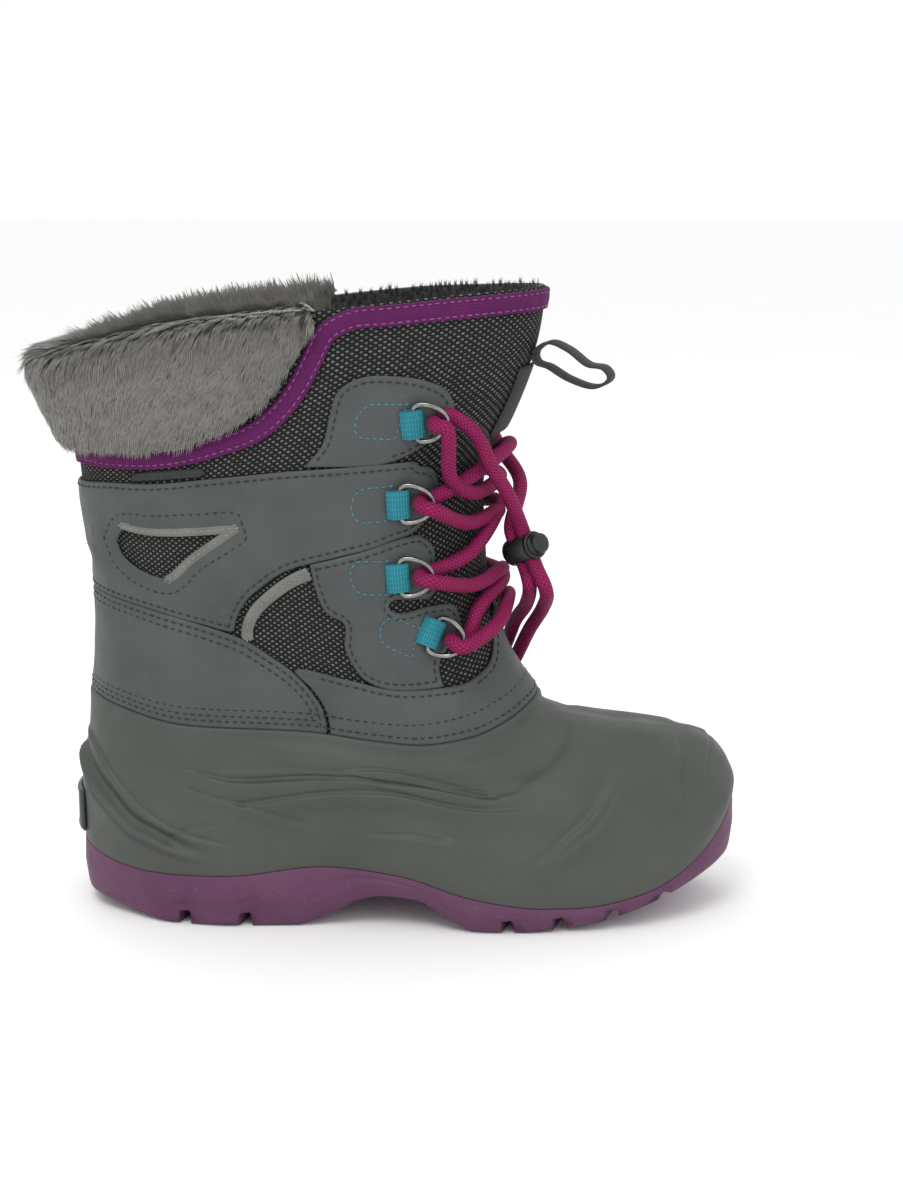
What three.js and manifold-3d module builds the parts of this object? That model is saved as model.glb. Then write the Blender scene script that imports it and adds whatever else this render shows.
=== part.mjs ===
// A lace-up snow boot: moulded rubber shell on a lugged sole, cloth shaft with
// leather overlays, deep fur collar. Right foot, +X to the toe, +Y to the inner side.
import * as THREE from 'three';
import { mergeVertices } from 'three/addons/utils/BufferGeometryUtils.js';
import Module from 'manifold-3d';

const wasm = await Module();
wasm.setup();

// Driving sizes, in millimetres.
const LENGTH = 258; // shell, heel to toe
const BALL_WIDTH = 93; // shell, across the ball
const BOOT_HEIGHT = 242; // floor to the collar's front edge
const SHELL_HEIGHT = 86; // floor to the shell's rim at the heel
const SOLE_SIDE = 23; // sole's coloured side at the heel
const SOLE_WEB = 18; // sole under the shell at the heel
const ARCH_HEIGHT = 12;
const TOE_SPRING = 19.5; // sole's outer edge at the toe above the floor
const HEEL_BEVEL = 3.5;
const SWING = 7; // toe's turn to the inner side
const SHELL_WALL = 2.2;
const SHELL_FOOT_WALL = 2.8; // shell inside the sole's rim
const SHELL_FLOOR = 2.6;
const RIM_WALL = 2.7; // sole's rim round the shell
const FOOT_STEP = 0.8; // sole's web inside its rim
const GROUND_INSET = 4; // ground edge inside the colour line
const EDGE_INSET = 1.2;
const EDGE_RISE = 2.2;
const SIDE_BULGE = 0.3;
const CLOTH_WALL = 2.4;
const LEATHER = 1.5;
const INSOLE = 3;
const GAP = 0.3; // between curved pieces
const LUG_GROOVE = 4;
const LUG_DEPTH = 4;
const KICK_LEDGE = 2.6;
const BINDING_WIDTH = 8;
const BINDING_THICKNESS = 1.3;
const FUR_DEPTH = 14.4;
const FUR_TOP = 6; // above the cloth's rim at the heel
const FUR_LINING = 5.5; // fur inside the rim
const FUR_REACH = 20; // fur's depth down the inside
const LOCK_LENGTH = 17;
const LOCK_WIDTH = 9;
const WIRE = 2; // D-ring wire diameter
const RING_DEPTH = 12;
const TAPE_HEIGHT = 10.8;
const TAPE_WIDTH = 7;
const TAPE_DEPTH = 3.6;
const LACE = 5.6;
const PLATE = 2;
const TAG = 0.8;
const STRAP = 1.2;
const STRAP_WIDTH = 9;
const BARREL_RADIUS = 5.4;
const BARREL_LENGTH = 15;
const BUTTON_RADIUS = 4;
const BUTTON_LENGTH = 4;
const CLIP_LENGTH = 18;
const CLIP_WIDTH = 15;

const SIDES = 48; // columns round the boot
const rad = THREE.MathUtils.degToRad;

// Monotone cubic through short tables of x and y.
function curve(xs, ys) {
  const last = xs.length - 1;
  const step = xs.slice(1).map((x, i) => x - xs[i]);
  const slope = step.map((h, i) => (ys[i + 1] - ys[i]) / h);
  const tangent = xs.map((_, i) => {
    if (i === 0) return slope[0];
    if (i === last) return slope[last - 1];
    if (slope[i - 1] * slope[i] <= 0) return 0;
    const a = 2 * step[i] + step[i - 1];
    const b = step[i] + 2 * step[i - 1];
    return (a + b) / (a / slope[i - 1] + b / slope[i]);
  });
  return (value) => {
    const x = Math.min(Math.max(value, xs[0]), xs[last]);
    let i = 0;
    while (i < last - 1 && x > xs[i + 1]) i += 1;
    const t = (x - xs[i]) / step[i];
    const u = 1 - t;
    return u * u * (1 + 2 * t) * ys[i] + t * t * (3 - 2 * t) * ys[i + 1]
      + step[i] * t * u * (u * tangent[i] - t * tangent[i + 1]);
  };
}

const column = (rows, i) => rows.map((row) => row[i]);
const table = (rows) => curve(column(rows, 0), column(rows, 1));

// Heights along the boot, by share of a ring's own length, heel 0 to toe 1.
const archShare = table([[0.35, 0], [0.40, 0.42], [0.435, 0.85], [0.47, 1], [0.52, 0.93], [0.57, 0.35],
  [0.605, 0]]);
const toeShare = table([[0.70, 0], [0.78, 0.11], [0.83, 0.25], [0.88, 0.44], [0.92, 0.62], [0.96, 0.82],
  [1, 1]]);
const bevelShare = table([[0, 1], [0.05, 1], [0.10, 0.45], [0.14, 0]]);
const sideShare = table([[0, 1.13], [0.05, 0.978], [0.12, 0.891], [0.25, 0.913], [0.38, 1.065], [0.5, 0.935],
  [0.6, 0.63], [0.7, 0.457], [0.8, 0.345], [0.88, 0.301], [0.94, 0.433], [0.975, 0.681], [1, 1.022]]);
const webShare = table([[0, 0.80], [0.25, 1], [0.36, 0.92], [0.47, 0.30], [0.60, 0.53], [0.70, 0.46],
  [0.80, 0.32], [0.88, 0.26], [1, 0.24]]);
const rimShare = table([[0, 1], [0.08, 0.965], [0.25, 0.907], [0.50, 0.895], [0.65, 0.855], [0.76, 0.829],
  [0.86, 0.849], [0.94, 0.907], [1, 0.977]]);
const collarShare = table([[0, 0.888], [0.12, 0.917], [0.25, 0.942], [0.50, 0.967], [0.76, 0.988], [1, 1]]);

const bottom = (s) => ARCH_HEIGHT * archShare(s) + TOE_SPRING * toeShare(s) + HEEL_BEVEL * bevelShare(s);
const soleLine = (s) => TOE_SPRING * toeShare(s) + SOLE_SIDE * sideShare(s);
const floorLine = (s) => bottom(s) + SOLE_WEB * webShare(s);
const rimLine = (s) => SHELL_HEIGHT * rimShare(s);
const collarLine = (s) => BOOT_HEIGHT * collarShare(s);

// Rings of the boot's skin. Level 0 is the sole line, 1 the shell's rim, 2 the collar.
// Back and front are shares of LENGTH; half-widths are shares of BALL_WIDTH; swing of SWING.
const RINGS = [
  // level, back, front, heel, waist, ball, toe, swing
  [0.00, -0.465, 0.533, 0.403, 0.430, 0.500, 0.414, 1.00],
  [0.12, -0.466, 0.535, 0.414, 0.446, 0.511, 0.425, 1.00],
  [0.30, -0.466, 0.525, 0.414, 0.457, 0.505, 0.414, 1.00],
  [0.50, -0.462, 0.502, 0.398, 0.457, 0.478, 0.387, 0.90],
  [0.60, -0.459, 0.475, 0.387, 0.452, 0.468, 0.371, 0.80],
  [0.65, -0.457, 0.444, 0.382, 0.446, 0.462, 0.366, 0.75],
  [0.70, -0.455, 0.390, 0.376, 0.446, 0.457, 0.371, 0.70],
  [0.74, -0.453, 0.333, 0.371, 0.441, 0.452, 0.376, 0.60],
  [0.78, -0.452, 0.295, 0.366, 0.441, 0.446, 0.371, 0.50],
  [0.84, -0.451, 0.262, 0.355, 0.435, 0.441, 0.366, 0.40],
  [0.92, -0.450, 0.240, 0.344, 0.430, 0.435, 0.344, 0.30],
  [1.00, -0.450, 0.236, 0.333, 0.430, 0.430, 0.328, 0.25],
  [1.07, -0.445, 0.207, 0.323, 0.425, 0.425, 0.317, 0.15],
  [1.14, -0.442, 0.184, 0.312, 0.425, 0.419, 0.306, 0.10],
  [1.22, -0.440, 0.172, 0.306, 0.425, 0.419, 0.301, 0.00],
  [1.35, -0.443, 0.163, 0.306, 0.430, 0.425, 0.296, 0.00],
  [1.50, -0.453, 0.158, 0.310, 0.435, 0.430, 0.296, 0.00],
  [1.60, -0.460, 0.169, 0.312, 0.441, 0.430, 0.296, 0.00],
  [1.68, -0.463, 0.194, 0.314, 0.443, 0.430, 0.290, 0.00],
  [1.78, -0.467, 0.221, 0.316, 0.445, 0.430, 0.285, 0.00],
  [1.88, -0.473, 0.240, 0.318, 0.447, 0.430, 0.280, 0.00],
  [2.00, -0.481, 0.250, 0.323, 0.452, 0.430, 0.280, 0.00],
];
const ringBack = table(RINGS);
const ringFront = curve(column(RINGS, 0), column(RINGS, 2));
const ringWidths = [3, 4, 5, 6].map((i) => curve(column(RINGS, 0), column(RINGS, i)));
const ringSwing = curve(column(RINGS, 0), column(RINGS, 7));
const STATIONS = [0.12, 0.42, 0.70, 0.88]; // heel, waist, ball and toe widths along a ring
const ROUNDNESS = 2.3;
const swingShare = table([[0, 0], [0.42, -0.21], [0.70, 0], [0.88, 0.57], [1, 1]]);
const endFall = (s) => (1 - Math.abs(2 * s - 1) ** ROUNDNESS) ** (1 / ROUNDNESS);

// Half-width at a share of the ring's length, smooth between the four stations.
function halfWidth(level, s) {
  const widths = ringWidths.map((width, i) => BALL_WIDTH * width(level) / endFall(STATIONS[i]));
  let width = widths[0];
  for (let i = 0; i < 3; i += 1) {
    const t = THREE.MathUtils.smoothstep(s, STATIONS[i], STATIONS[i + 1]);
    width += (widths[i + 1] - widths[i]) * t;
  }
  return width * endFall(s);
}

// Point of the skin: angle 0 at the heel, 90 on the outer side, 180 at the toe.
function skinPoint(angle, level) {
  const turn = rad(angle);
  const s = (1 - Math.cos(turn)) / 2;
  const back = LENGTH * ringBack(level);
  const front = LENGTH * ringFront(level);
  const y = SWING * swingShare(s) * ringSwing(level) - Math.sign(Math.sin(turn)) * halfWidth(level, s);
  const z = level <= 1
    ? soleLine(s) + (rimLine(s) - soleLine(s)) * level
    : rimLine(s) + (collarLine(s) - rimLine(s)) * (level - 1);
  return new THREE.Vector3(back + (front - back) * s, y, z);
}

function skinFrame(angle, level) {
  const reach = 0.6;
  const rise = 0.004;
  const along = skinPoint(angle + reach, level).sub(skinPoint(angle - reach, level)).normalize();
  const low = Math.max(level - rise, 0);
  const up = skinPoint(angle, level + rise).sub(skinPoint(angle, low)).normalize();
  const out = along.clone().cross(up).normalize();
  return { along, up: out.clone().cross(along), out };
}

// The heel's kick ledge is a step in the shell's wall.
const ledgeRise = curve([0.34, 0.44, 0.55, 0.60, 0.68], [0, 0.25, 1, 1, 0]);
const ledgeReach = curve([0, 22, 60], [1, 0.8, 0]);
const ledge = (angle, level) => KICK_LEDGE * ledgeRise(level) * ledgeReach(180 - Math.abs(180 - angle));

function skin(angle, level, offset) {
  const out = skinFrame(angle, level).out;
  return skinPoint(angle, level).addScaledVector(out, offset);
}

// Point inside the sole line's plan outline, at its own height.
function footPoint(angle, height, inset) {
  const point = skinPoint(angle, 0);
  const along = skinPoint(angle + 0.6, 0).sub(skinPoint(angle - 0.6, 0));
  const inward = new THREE.Vector3(-along.y, along.x, 0).normalize();
  point.addScaledVector(inward, inset);
  point.z = height(THREE.MathUtils.clamp((1 - Math.cos(rad(angle))) / 2, 0, 1));
  return point;
}

const angles = Array.from({ length: SIDES }, (_, i) => i * 360 / SIDES);
const ring = (level, offset) => angles.map((angle) => skin(angle, level, offset));
const ledgeRing = (level, offset) => angles.map((angle) => skin(angle, level, offset + ledge(angle, level)));
const footRing = (height, inset) => angles.map((angle) => footPoint(angle, height, inset));

// Turns faces of points into a geometry whose shared corners are merged.
function facesToGeometry(faces) {
  const geometry = new THREE.BufferGeometry().setFromPoints(faces.flat());
  return mergeVertices(geometry, 1e-4);
}

function quad(faces, a, b, c, d) {
  faces.push([a, b, c], [a, c, d]);
}

// Rings joined in order. A loop closes on itself; otherwise both ends are capped across.
function loft(rings, isLoop) {
  const faces = [];
  const count = rings[0].length;
  const last = isLoop ? rings.length : rings.length - 1;
  for (let i = 0; i < last; i += 1) {
    const low = rings[i];
    const high = rings[(i + 1) % rings.length];
    for (let k = 0; k < count; k += 1) {
      const next = (k + 1) % count;
      quad(faces, low[k], low[next], high[next], high[k]);
    }
  }
  if (!isLoop) {
    capAcross(faces, rings[0], true);
    capAcross(faces, rings[rings.length - 1], false);
  }
  return facesToGeometry(faces.filter(isRealFace));
}

function capAcross(faces, points, isDown) {
  const count = points.length;
  for (let k = 0; k < count / 2; k += 1) {
    const near = [points[k], points[k + 1]];
    const far = [points[(count - k) % count], points[count - k - 1]];
    if (isDown) quad(faces, near[0], far[0], far[1], near[1]);
    else quad(faces, near[0], near[1], far[1], far[0]);
  }
}

function isRealFace([a, b, c]) {
  return b.clone().sub(a).cross(c.clone().sub(a)).length() > 1e-7;
}

// A bent plate: a grid of outer points over a grid of inner points, with side walls.
function plate(outer, inner) {
  const faces = [];
  const rows = outer.length - 1;
  const columns = outer[0].length - 1;
  for (let i = 0; i < rows; i += 1) {
    for (let k = 0; k < columns; k += 1) {
      quad(faces, outer[i][k], outer[i][k + 1], outer[i + 1][k + 1], outer[i + 1][k]);
      quad(faces, inner[i][k], inner[i + 1][k], inner[i + 1][k + 1], inner[i][k + 1]);
    }
    quad(faces, outer[i][0], outer[i + 1][0], inner[i + 1][0], inner[i][0]);
    quad(faces, outer[i][columns], inner[i][columns], inner[i + 1][columns], outer[i + 1][columns]);
  }
  for (let k = 0; k < columns; k += 1) {
    quad(faces, outer[0][k], inner[0][k], inner[0][k + 1], outer[0][k + 1]);
    quad(faces, outer[rows][k], outer[rows][k + 1], inner[rows][k + 1], inner[rows][k]);
  }
  return facesToGeometry(faces);
}

// A section swept along frames; the frames close on themselves or are capped.
function sweep(frames, section, isLoop) {
  const rings = frames.map(({ at, side, out }) => section.map(([a, b]) => (
    at.clone().addScaledVector(side, a).addScaledVector(out, b))));
  const faces = [];
  const count = section.length;
  const last = isLoop ? rings.length : rings.length - 1;
  for (let i = 0; i < last; i += 1) {
    const low = rings[i];
    const high = rings[(i + 1) % rings.length];
    for (let k = 0; k < count; k += 1) {
      const next = (k + 1) % count;
      quad(faces, low[k], low[next], high[next], high[k]);
    }
  }
  if (!isLoop) {
    const shape = section.map(([a, b]) => new THREE.Vector2(a, b));
    const end = rings[rings.length - 1];
    THREE.ShapeUtils.triangulateShape(shape, []).forEach(([a, b, c]) => {
      faces.push([rings[0][a], rings[0][c], rings[0][b]], [end[a], end[b], end[c]]);
    });
  }
  return facesToGeometry(faces);
}

function toSolid(geometry) {
  const bare = geometry.clone();
  bare.deleteAttribute('normal');
  bare.deleteAttribute('uv');
  const merged = mergeVertices(bare, 1e-4);
  const mesh = new wasm.Mesh({
    numProp: 3,
    vertProperties: new Float32Array(merged.attributes.position.array),
    triVerts: new Uint32Array(merged.index.array),
  });
  mesh.merge();
  return new wasm.Manifold(mesh);
}

function toGeometry(solid) {
  const mesh = solid.getMesh();
  const geometry = new THREE.BufferGeometry();
  geometry.setAttribute('position', new THREE.BufferAttribute(new Float32Array(mesh.vertProperties), 3));
  geometry.setIndex(new THREE.BufferAttribute(new Uint32Array(mesh.triVerts), 1));
  return geometry;
}

// Grooves across the sole, by share of LENGTH from the middle, bent to a chevron in degrees.
const GROOVES = [-0.246, -0.153, 0.242, 0.316, 0.390, 0.459];
const CHEVRON = 16;
const CHEVRON_BACK = 0.04; // a groove's outer end behind its middle

// The sole: cupped round the shell, arched, with toe spring and grooves between its lugs.
function makeOutsole() {
  const rings = [
    footRing(bottom, GROUND_INSET),
    footRing((s) => bottom(s) + EDGE_RISE, EDGE_INSET),
    footRing((s) => bottom(s) + (soleLine(s) - bottom(s)) * 0.55, -SIDE_BULGE),
    footRing((s) => soleLine(s) - GAP, 0),
    footRing((s) => soleLine(s) - GAP, RIM_WALL),
    footRing((s) => floorLine(s), RIM_WALL + FOOT_STEP),
  ];
  let sole = toSolid(loft(rings, false));
  const reach = BALL_WIDTH;
  GROOVES.forEach((share) => {
    const s = (share - CHEVRON_BACK - RINGS[0][1]) / (RINGS[0][2] - RINGS[0][1]);
    [-1, 1].forEach((side) => {
      const cut = new THREE.BoxGeometry(LUG_GROOVE, reach, 2 * LUG_DEPTH);
      cut.translate(0, side * (reach / 2 - 1), 0);
      cut.rotateZ(rad(side * CHEVRON));
      cut.translate(share * LENGTH, 0, bottom(s));
      sole = sole.subtract(toSolid(cut));
    });
  });
  return toGeometry(sole);
}

// The moulded shell: a closed cup that stands inside the sole's rim.
function makeShell() {
  const footInset = RIM_WALL + FOOT_STEP + GAP;
  const ledgeLevels = [0, 0.14, 0.30, 0.42, 0.52, 0.60, 0.65, 0.70, 0.74, 0.78, 0.84, 0.92, 1];
  const innerLevels = [1, 0.92, 0.84, 0.74, 0.65, 0.50, 0.25, 0.08];
  const rings = [
    footRing((s) => floorLine(s) + GAP, footInset),
    footRing((s) => soleLine(s) - GAP, RIM_WALL + GAP),
    footRing(soleLine, RIM_WALL + GAP),
    ...ledgeLevels.map((level) => ledgeRing(level, 0)),
    ...innerLevels.map((level) => ring(level, -SHELL_WALL)),
    footRing((s) => floorLine(s) + GAP + SHELL_FLOOR, footInset + SHELL_FOOT_WALL),
  ];
  return loft(rings, false);
}

function makeInsole() {
  const inset = RIM_WALL + FOOT_STEP + GAP + SHELL_FOOT_WALL + GAP;
  const under = (s) => floorLine(s) + GAP + SHELL_FLOOR + GAP;
  return loft([
    footRing(under, inset),
    footRing((s) => under(s) + INSOLE, inset),
  ], false);
}

// Offsets of the layers from the skin.
const CLOTH_FACE = -SHELL_WALL - GAP;
const CLOTH_BACK = CLOTH_FACE - CLOTH_WALL;
const LEATHER_BACK = CLOTH_FACE + GAP + 0.1;
const LEATHER_FACE = LEATHER_BACK + LEATHER;
const LAP = 0.92; // level where the cloth ends inside the shell
const SHAFT_LEVELS = [LAP, 1, 1.07, 1.14, 1.22, 1.35, 1.5, 1.6, 1.68, 1.78, 1.88, 2];
const LINING_LEVELS = [2, 1.88, 1.68, 1.5, 1.22, 1.07, LAP];

function makeUpper() {
  const outer = SHAFT_LEVELS.map((level) => ring(level, CLOTH_FACE));
  const inner = LINING_LEVELS.map((level) => ring(level, CLOTH_BACK));
  return loft([...outer, ...inner], true);
}

// A leather layer all round between two levels, on the shaft's own rings.
function leatherBand(low, high) {
  const between = SHAFT_LEVELS.filter((level) => level > low + 0.01 && level < high - 0.01);
  const levels = [low, ...between, high];
  const outer = levels.map((level) => ring(level, LEATHER_FACE));
  const inner = levels.map((level) => ring(level, LEATHER_BACK)).reverse();
  return toSolid(loft([...outer, ...inner], true));
}

// A cutter across the boot through an outline in side view: points of x and z.
function crossCutter(points, depth, shift) {
  const cutter = new THREE.ExtrudeGeometry(new THREE.Shape(points), { depth, bevelEnabled: false });
  cutter.rotateX(Math.PI / 2);
  cutter.translate(0, shift, 0);
  return toSolid(cutter);
}

function sideView([angle, level]) {
  const point = skin(angle, level, LEATHER_FACE);
  return new THREE.Vector2(point.x, point.z);
}

// A cutter through one side or both, from an outline of angle and level on the outer side.
function sideCutter(outline, sides) {
  const depth = sides === 'both' ? 2 * BALL_WIDTH : BALL_WIDTH;
  return crossCutter(outline.map(sideView), depth, sides === 'outer' ? 0 : BALL_WIDTH);
}

// Panel edges as angle and level on the outer side; the inner side mirrors them.
const SEAM_GAP = 0.004; // level between neighbouring panels
const COUNTER_TOP = [[0, 1.32], [21, 1.313], [50.2, 1.292], [65.7, 1.264], [78.8, 1.225], [84.8, 1.191],
  [90.6, 1.153], [94.5, 1.112], [96.6, 1.064], [95.9, 1.025], [95.5, 0.99]];
const QUARTER_FRONT = [[129.9, 1.628], [136, 1.612], [139.5, 1.565], [137.5, 1.515], [134, 1.478]];
const QUARTER_LOW = [[124.5, 1.468], [110.7, 1.44], [99, 1.414], [92, 1.394], [85.5, 1.36], [79.6, 1.315],
  [76.3, 1.263], [76, 1.24]];
const QUARTER_TOP = [[0, 1.636], [36.8, 1.631], [55, 1.621], [75.8, 1.626], [105, 1.637], [120, 1.642]];
const WINDOW = [[37, 1.468], [42, 1.506], [54, 1.503], [68.9, 1.503], [79.3, 1.502], [75.4, 1.481],
  [65, 1.431], [57.2, 1.38], [46.9, 1.393], [38.9, 1.43]];
const LOW_TAB = [[138, 1.44], [138.5, 1.40], [138, 1.35], [136, 1.325], [130, 1.328], [123, 1.333],
  [121, 1.318], [124.3, 1.302], [136, 1.305], [145, 1.29], [147, 1.255], [146, 1.222], [140.5, 1.205],
  [135.5, 1.17], [135, 1.13]];
const LOW_TAB_BACK = [[110.9, 1.15], [109, 1.171], [106.7, 1.223], [107.3, 1.25], [107.4, 1.278],
  [102.4, 1.301], [100.3, 1.344], [99.4, 1.386]];
const VAMP_TOP = [[94, 1.148], [109, 1.141], [115, 1.133], [135, 1.118], [144, 1.112], [151, 1.115],
  [157, 1.121], [162.4, 1.136], [166.8, 1.165], [169.5, 1.20], [173, 1.222], [180, 1.226]];
const TOP_TAB = [[97, 1.652], [100.1, 1.693], [100.3, 1.757], [101.3, 1.815], [106.3, 1.842],
  [114.9, 1.84], [124.5, 1.819], [131.1, 1.789], [134.5, 1.75], [135, 1.716], [126, 1.673], [119, 1.652]];

const raised = (outline, lift) => outline.map(([angle, level]) => [angle, level + lift]);
// Outlines that wrap the heel start outside it, so the cut runs clear of the boot's back.
function beyondHeel(level) {
  const overhang = 40;
  return new THREE.Vector2(skinPoint(0, level).x - overhang, skinPoint(0, level).z);
}

function wrapCutter(outline, startLevel, endLevel) {
  const points = [beyondHeel(startLevel), ...outline.map(sideView), beyondHeel(endLevel)];
  return crossCutter(points, 2 * BALL_WIDTH, BALL_WIDTH);
}

function makeCounter() {
  const cutter = wrapCutter(raised(COUNTER_TOP, -SEAM_GAP), COUNTER_TOP[0][1], 0.9);
  return toGeometry(leatherBand(1 + SEAM_GAP / 2, 1.36).intersect(cutter));
}

function makeVampBand() {
  const start = VAMP_TOP[0][0];
  const columns = angles.filter((angle) => angle >= start - 8 && angle <= 368 - start);
  const top = table([[start - 8, VAMP_TOP[0][1]], ...VAMP_TOP]);
  const low = 1 + SEAM_GAP / 2;
  const shares = [0, 0.35, 0.7, 1];
  const extra = [162, 165, 169.5, 190.5, 195, 198];
  const spread = [...new Set([...columns, ...extra])].sort((a, b) => a - b);
  const grid = (offset) => shares.map((share) => spread.map((angle) => {
    const level = low + (top(180 - Math.abs(180 - angle)) - low) * share;
    return skin(angle, level, offset);
  }));
  const band = toSolid(plate(grid(LEATHER_FACE), grid(LEATHER_BACK)));
  const shifted = raised(COUNTER_TOP, SEAM_GAP).map(([angle, level]) => [angle + 0.7, level]);
  return toGeometry(band.subtract(wrapCutter(shifted, COUNTER_TOP[0][1], 0.9)));
}

function makeQuarter() {
  const low = [...raised(QUARTER_LOW, SEAM_GAP), ...raised(COUNTER_TOP.slice(0, 4), SEAM_GAP).reverse()];
  const outline = [...QUARTER_TOP, ...QUARTER_FRONT, ...low];
  const cutter = wrapCutter(outline, QUARTER_TOP[0][1], COUNTER_TOP[0][1] + SEAM_GAP);
  return toGeometry(leatherBand(1.16, 1.7).intersect(cutter).subtract(sideCutter(WINDOW, 'both')));
}

function makeLowTab(side) {
  const outline = [...raised(QUARTER_LOW.slice(0, 3), -SEAM_GAP).reverse(), [133, 1.47], ...LOW_TAB,
    ...raised(VAMP_TOP.slice(2, 4), 2 * SEAM_GAP).reverse(), ...LOW_TAB_BACK];
  return toGeometry(leatherBand(1.07, 1.52).intersect(sideCutter(outline, side)));
}

function makeTopTab(side) {
  return toGeometry(leatherBand(1.64, 1.86).intersect(sideCutter(TOP_TAB, side)));
}

const BINDING_SEAT = 3 * GAP; // a flat tape on a hollow curve
// Centre line of the collar's binding, as angle and level.
const BINDING = [[0, 1.72], [21, 1.716], [41, 1.695], [54, 1.686], [65, 1.691], [74, 1.707], [82.7, 1.734],
  [88, 1.778], [91.5, 1.83], [94.6, 1.895], [97.6, 1.95], [103, 1.974], [112, 1.975], [128, 1.974],
  [150, 1.973], [180, 1.971]];

function makeBinding() {
  const mirrored = BINDING.slice(0, -1).reverse().map(([angle, level]) => [360 - angle, level]);
  const spine = new THREE.CatmullRomCurve3(
    [...BINDING, ...mirrored].map(([angle, level]) => new THREE.Vector3(angle, level * 100, 0)),
  );
  const steps = 72;
  const frames = Array.from({ length: steps }, (_, i) => {
    const share = i / steps;
    const here = spine.getPoint(share);
    const ahead = spine.getPoint(Math.min(share + 0.002, 1));
    const at = skin(here.x, here.y / 100, CLOTH_FACE + BINDING_SEAT);
    const next = skin(ahead.x, ahead.y / 100, CLOTH_FACE + BINDING_SEAT);
    const along = next.sub(at).normalize();
    const out = skinFrame(here.x, here.y / 100).out;
    return { at, side: out.clone().cross(along).normalize(), out };
  });
  const half = BINDING_WIDTH / 2;
  const section = [[-half, 0], [half, 0], [half - 0.6, BINDING_THICKNESS], [0.6 - half, BINDING_THICKNESS]];
  return sweep(frames, section, true);
}

// Lower edge of the fur, as angle and level, and how full it is there.
const FUR_EDGE = [
  // angle, level, fullness
  [0, 1.765, 1.00],
  [41, 1.738, 0.95],
  [54, 1.726, 0.92],
  [65, 1.732, 0.88],
  [74, 1.755, 0.82],
  [82, 1.803, 0.75],
  [87, 1.87, 0.66],
  [90, 1.92, 0.58],
  [94, 1.975, 0.42],
];
const furLow = table(FUR_EDGE);
const furFull = curve(column(FUR_EDGE, 0), column(FUR_EDGE, 2));

// Section of the fur: up the outside, over the rim and down the inside.
function furSection(angle) {
  const fold = Math.min(angle, 360 - angle);
  const low = furLow(fold);
  const full = furFull(fold);
  const depth = FUR_DEPTH * full;
  const top = FUR_TOP * (0.5 + 0.5 * full);
  const face = CLOTH_FACE + GAP + 0.1;
  const back = CLOTH_BACK - GAP;
  const reach = FUR_REACH * full / BOOT_HEIGHT;
  const lining = FUR_LINING * full;
  const at = (share, offset) => skin(angle, low + (2 - low) * share, offset);
  const above = (height, offset) => skin(angle, 2, offset).add(new THREE.Vector3(0, 0, height));
  const inside = (share, offset) => skin(angle, 2 - 1.6 * reach * share, offset);
  return [
    at(0, face),
    at(0.02, depth * 0.3),
    at(0.3, depth * 0.62),
    at(0.6, depth * 0.86),
    at(0.92, depth),
    above(top * 0.6, depth * 0.82),
    above(top, 0),
    above(top * 0.8, back - lining * 0.7),
    inside(0.4, back - lining),
    inside(1, back - lining * 0.6),
    inside(1, back),
    inside(0.4, back),
    above(2 * GAP, back),
    above(2 * GAP, face),
    at(0.55, face),
  ];
}

function makeFur() {
  const end = FUR_EDGE[FUR_EDGE.length - 1][0];
  const inside = angles.filter((angle) => Math.abs(angle) < end - 2 || angle > 362 - end);
  const ordered = [360 - end, ...inside.filter((angle) => angle > 180), ...inside.filter((angle) => angle < 180),
    end];
  const rings = ordered.map(furSection);
  const faces = [];
  const count = rings[0].length;
  for (let i = 0; i < rings.length - 1; i += 1) {
    for (let k = 0; k < count; k += 1) {
      const next = (k + 1) % count;
      quad(faces, rings[i][k], rings[i + 1][k], rings[i + 1][next], rings[i][next]);
    }
  }
  [rings[0], rings[rings.length - 1]].forEach((points) => {
    const plan = points.map((point) => new THREE.Vector2(point.y, point.z));
    THREE.ShapeUtils.triangulateShape(plan, []).forEach(([a, b, c]) => {
      faces.push([points[a], points[b], points[c]]);
    });
  });
  let fur = toSolid(facesToGeometry(facedAlike(faces)));
  furLocks().forEach((lock) => {
    fur = fur.add(lock);
  });
  return toGeometry(fur);
}

// Turns a face over where its neighbours run the same edge in the same direction.
function facedAlike(faces) {
  const key = (a, b) => [a, b].map((p) => p.toArray().map((n) => n.toFixed(4)).join()).join('|');
  const edges = new Map();
  return faces.map((face) => {
    const [a, b, c] = face;
    const isClash = [[a, b], [b, c], [c, a]].some(([p, q]) => edges.has(key(p, q)));
    const turned = isClash ? [a, c, b] : face;
    [[turned[0], turned[1]], [turned[1], turned[2]], [turned[2], turned[0]]].forEach(([p, q]) => {
      edges.set(key(p, q), true);
    });
    return turned;
  });
}

// Pointed locks lying down over the fur's outside, in staggered rows.
function furLocks() {
  const rows = [0.15, 0.42, 0.7];
  const perRow = 16;
  const end = FUR_EDGE[FUR_EDGE.length - 1][0] - 8;
  const locks = [];
  rows.forEach((share, row) => {
    for (let i = 0; i < perRow; i += 1) {
      const spread = (i + 0.5 + (row % 2) / 2) / (perRow + 0.5);
      const angle = (360 - end + 2 * end * spread) % 360;
      const fold = Math.min(angle, 360 - angle);
      if (share < 0.3 || fold < end - 6 * (1 - share)) locks.push(furLock(angle, share));
    }
  });
  return locks;
}

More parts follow.
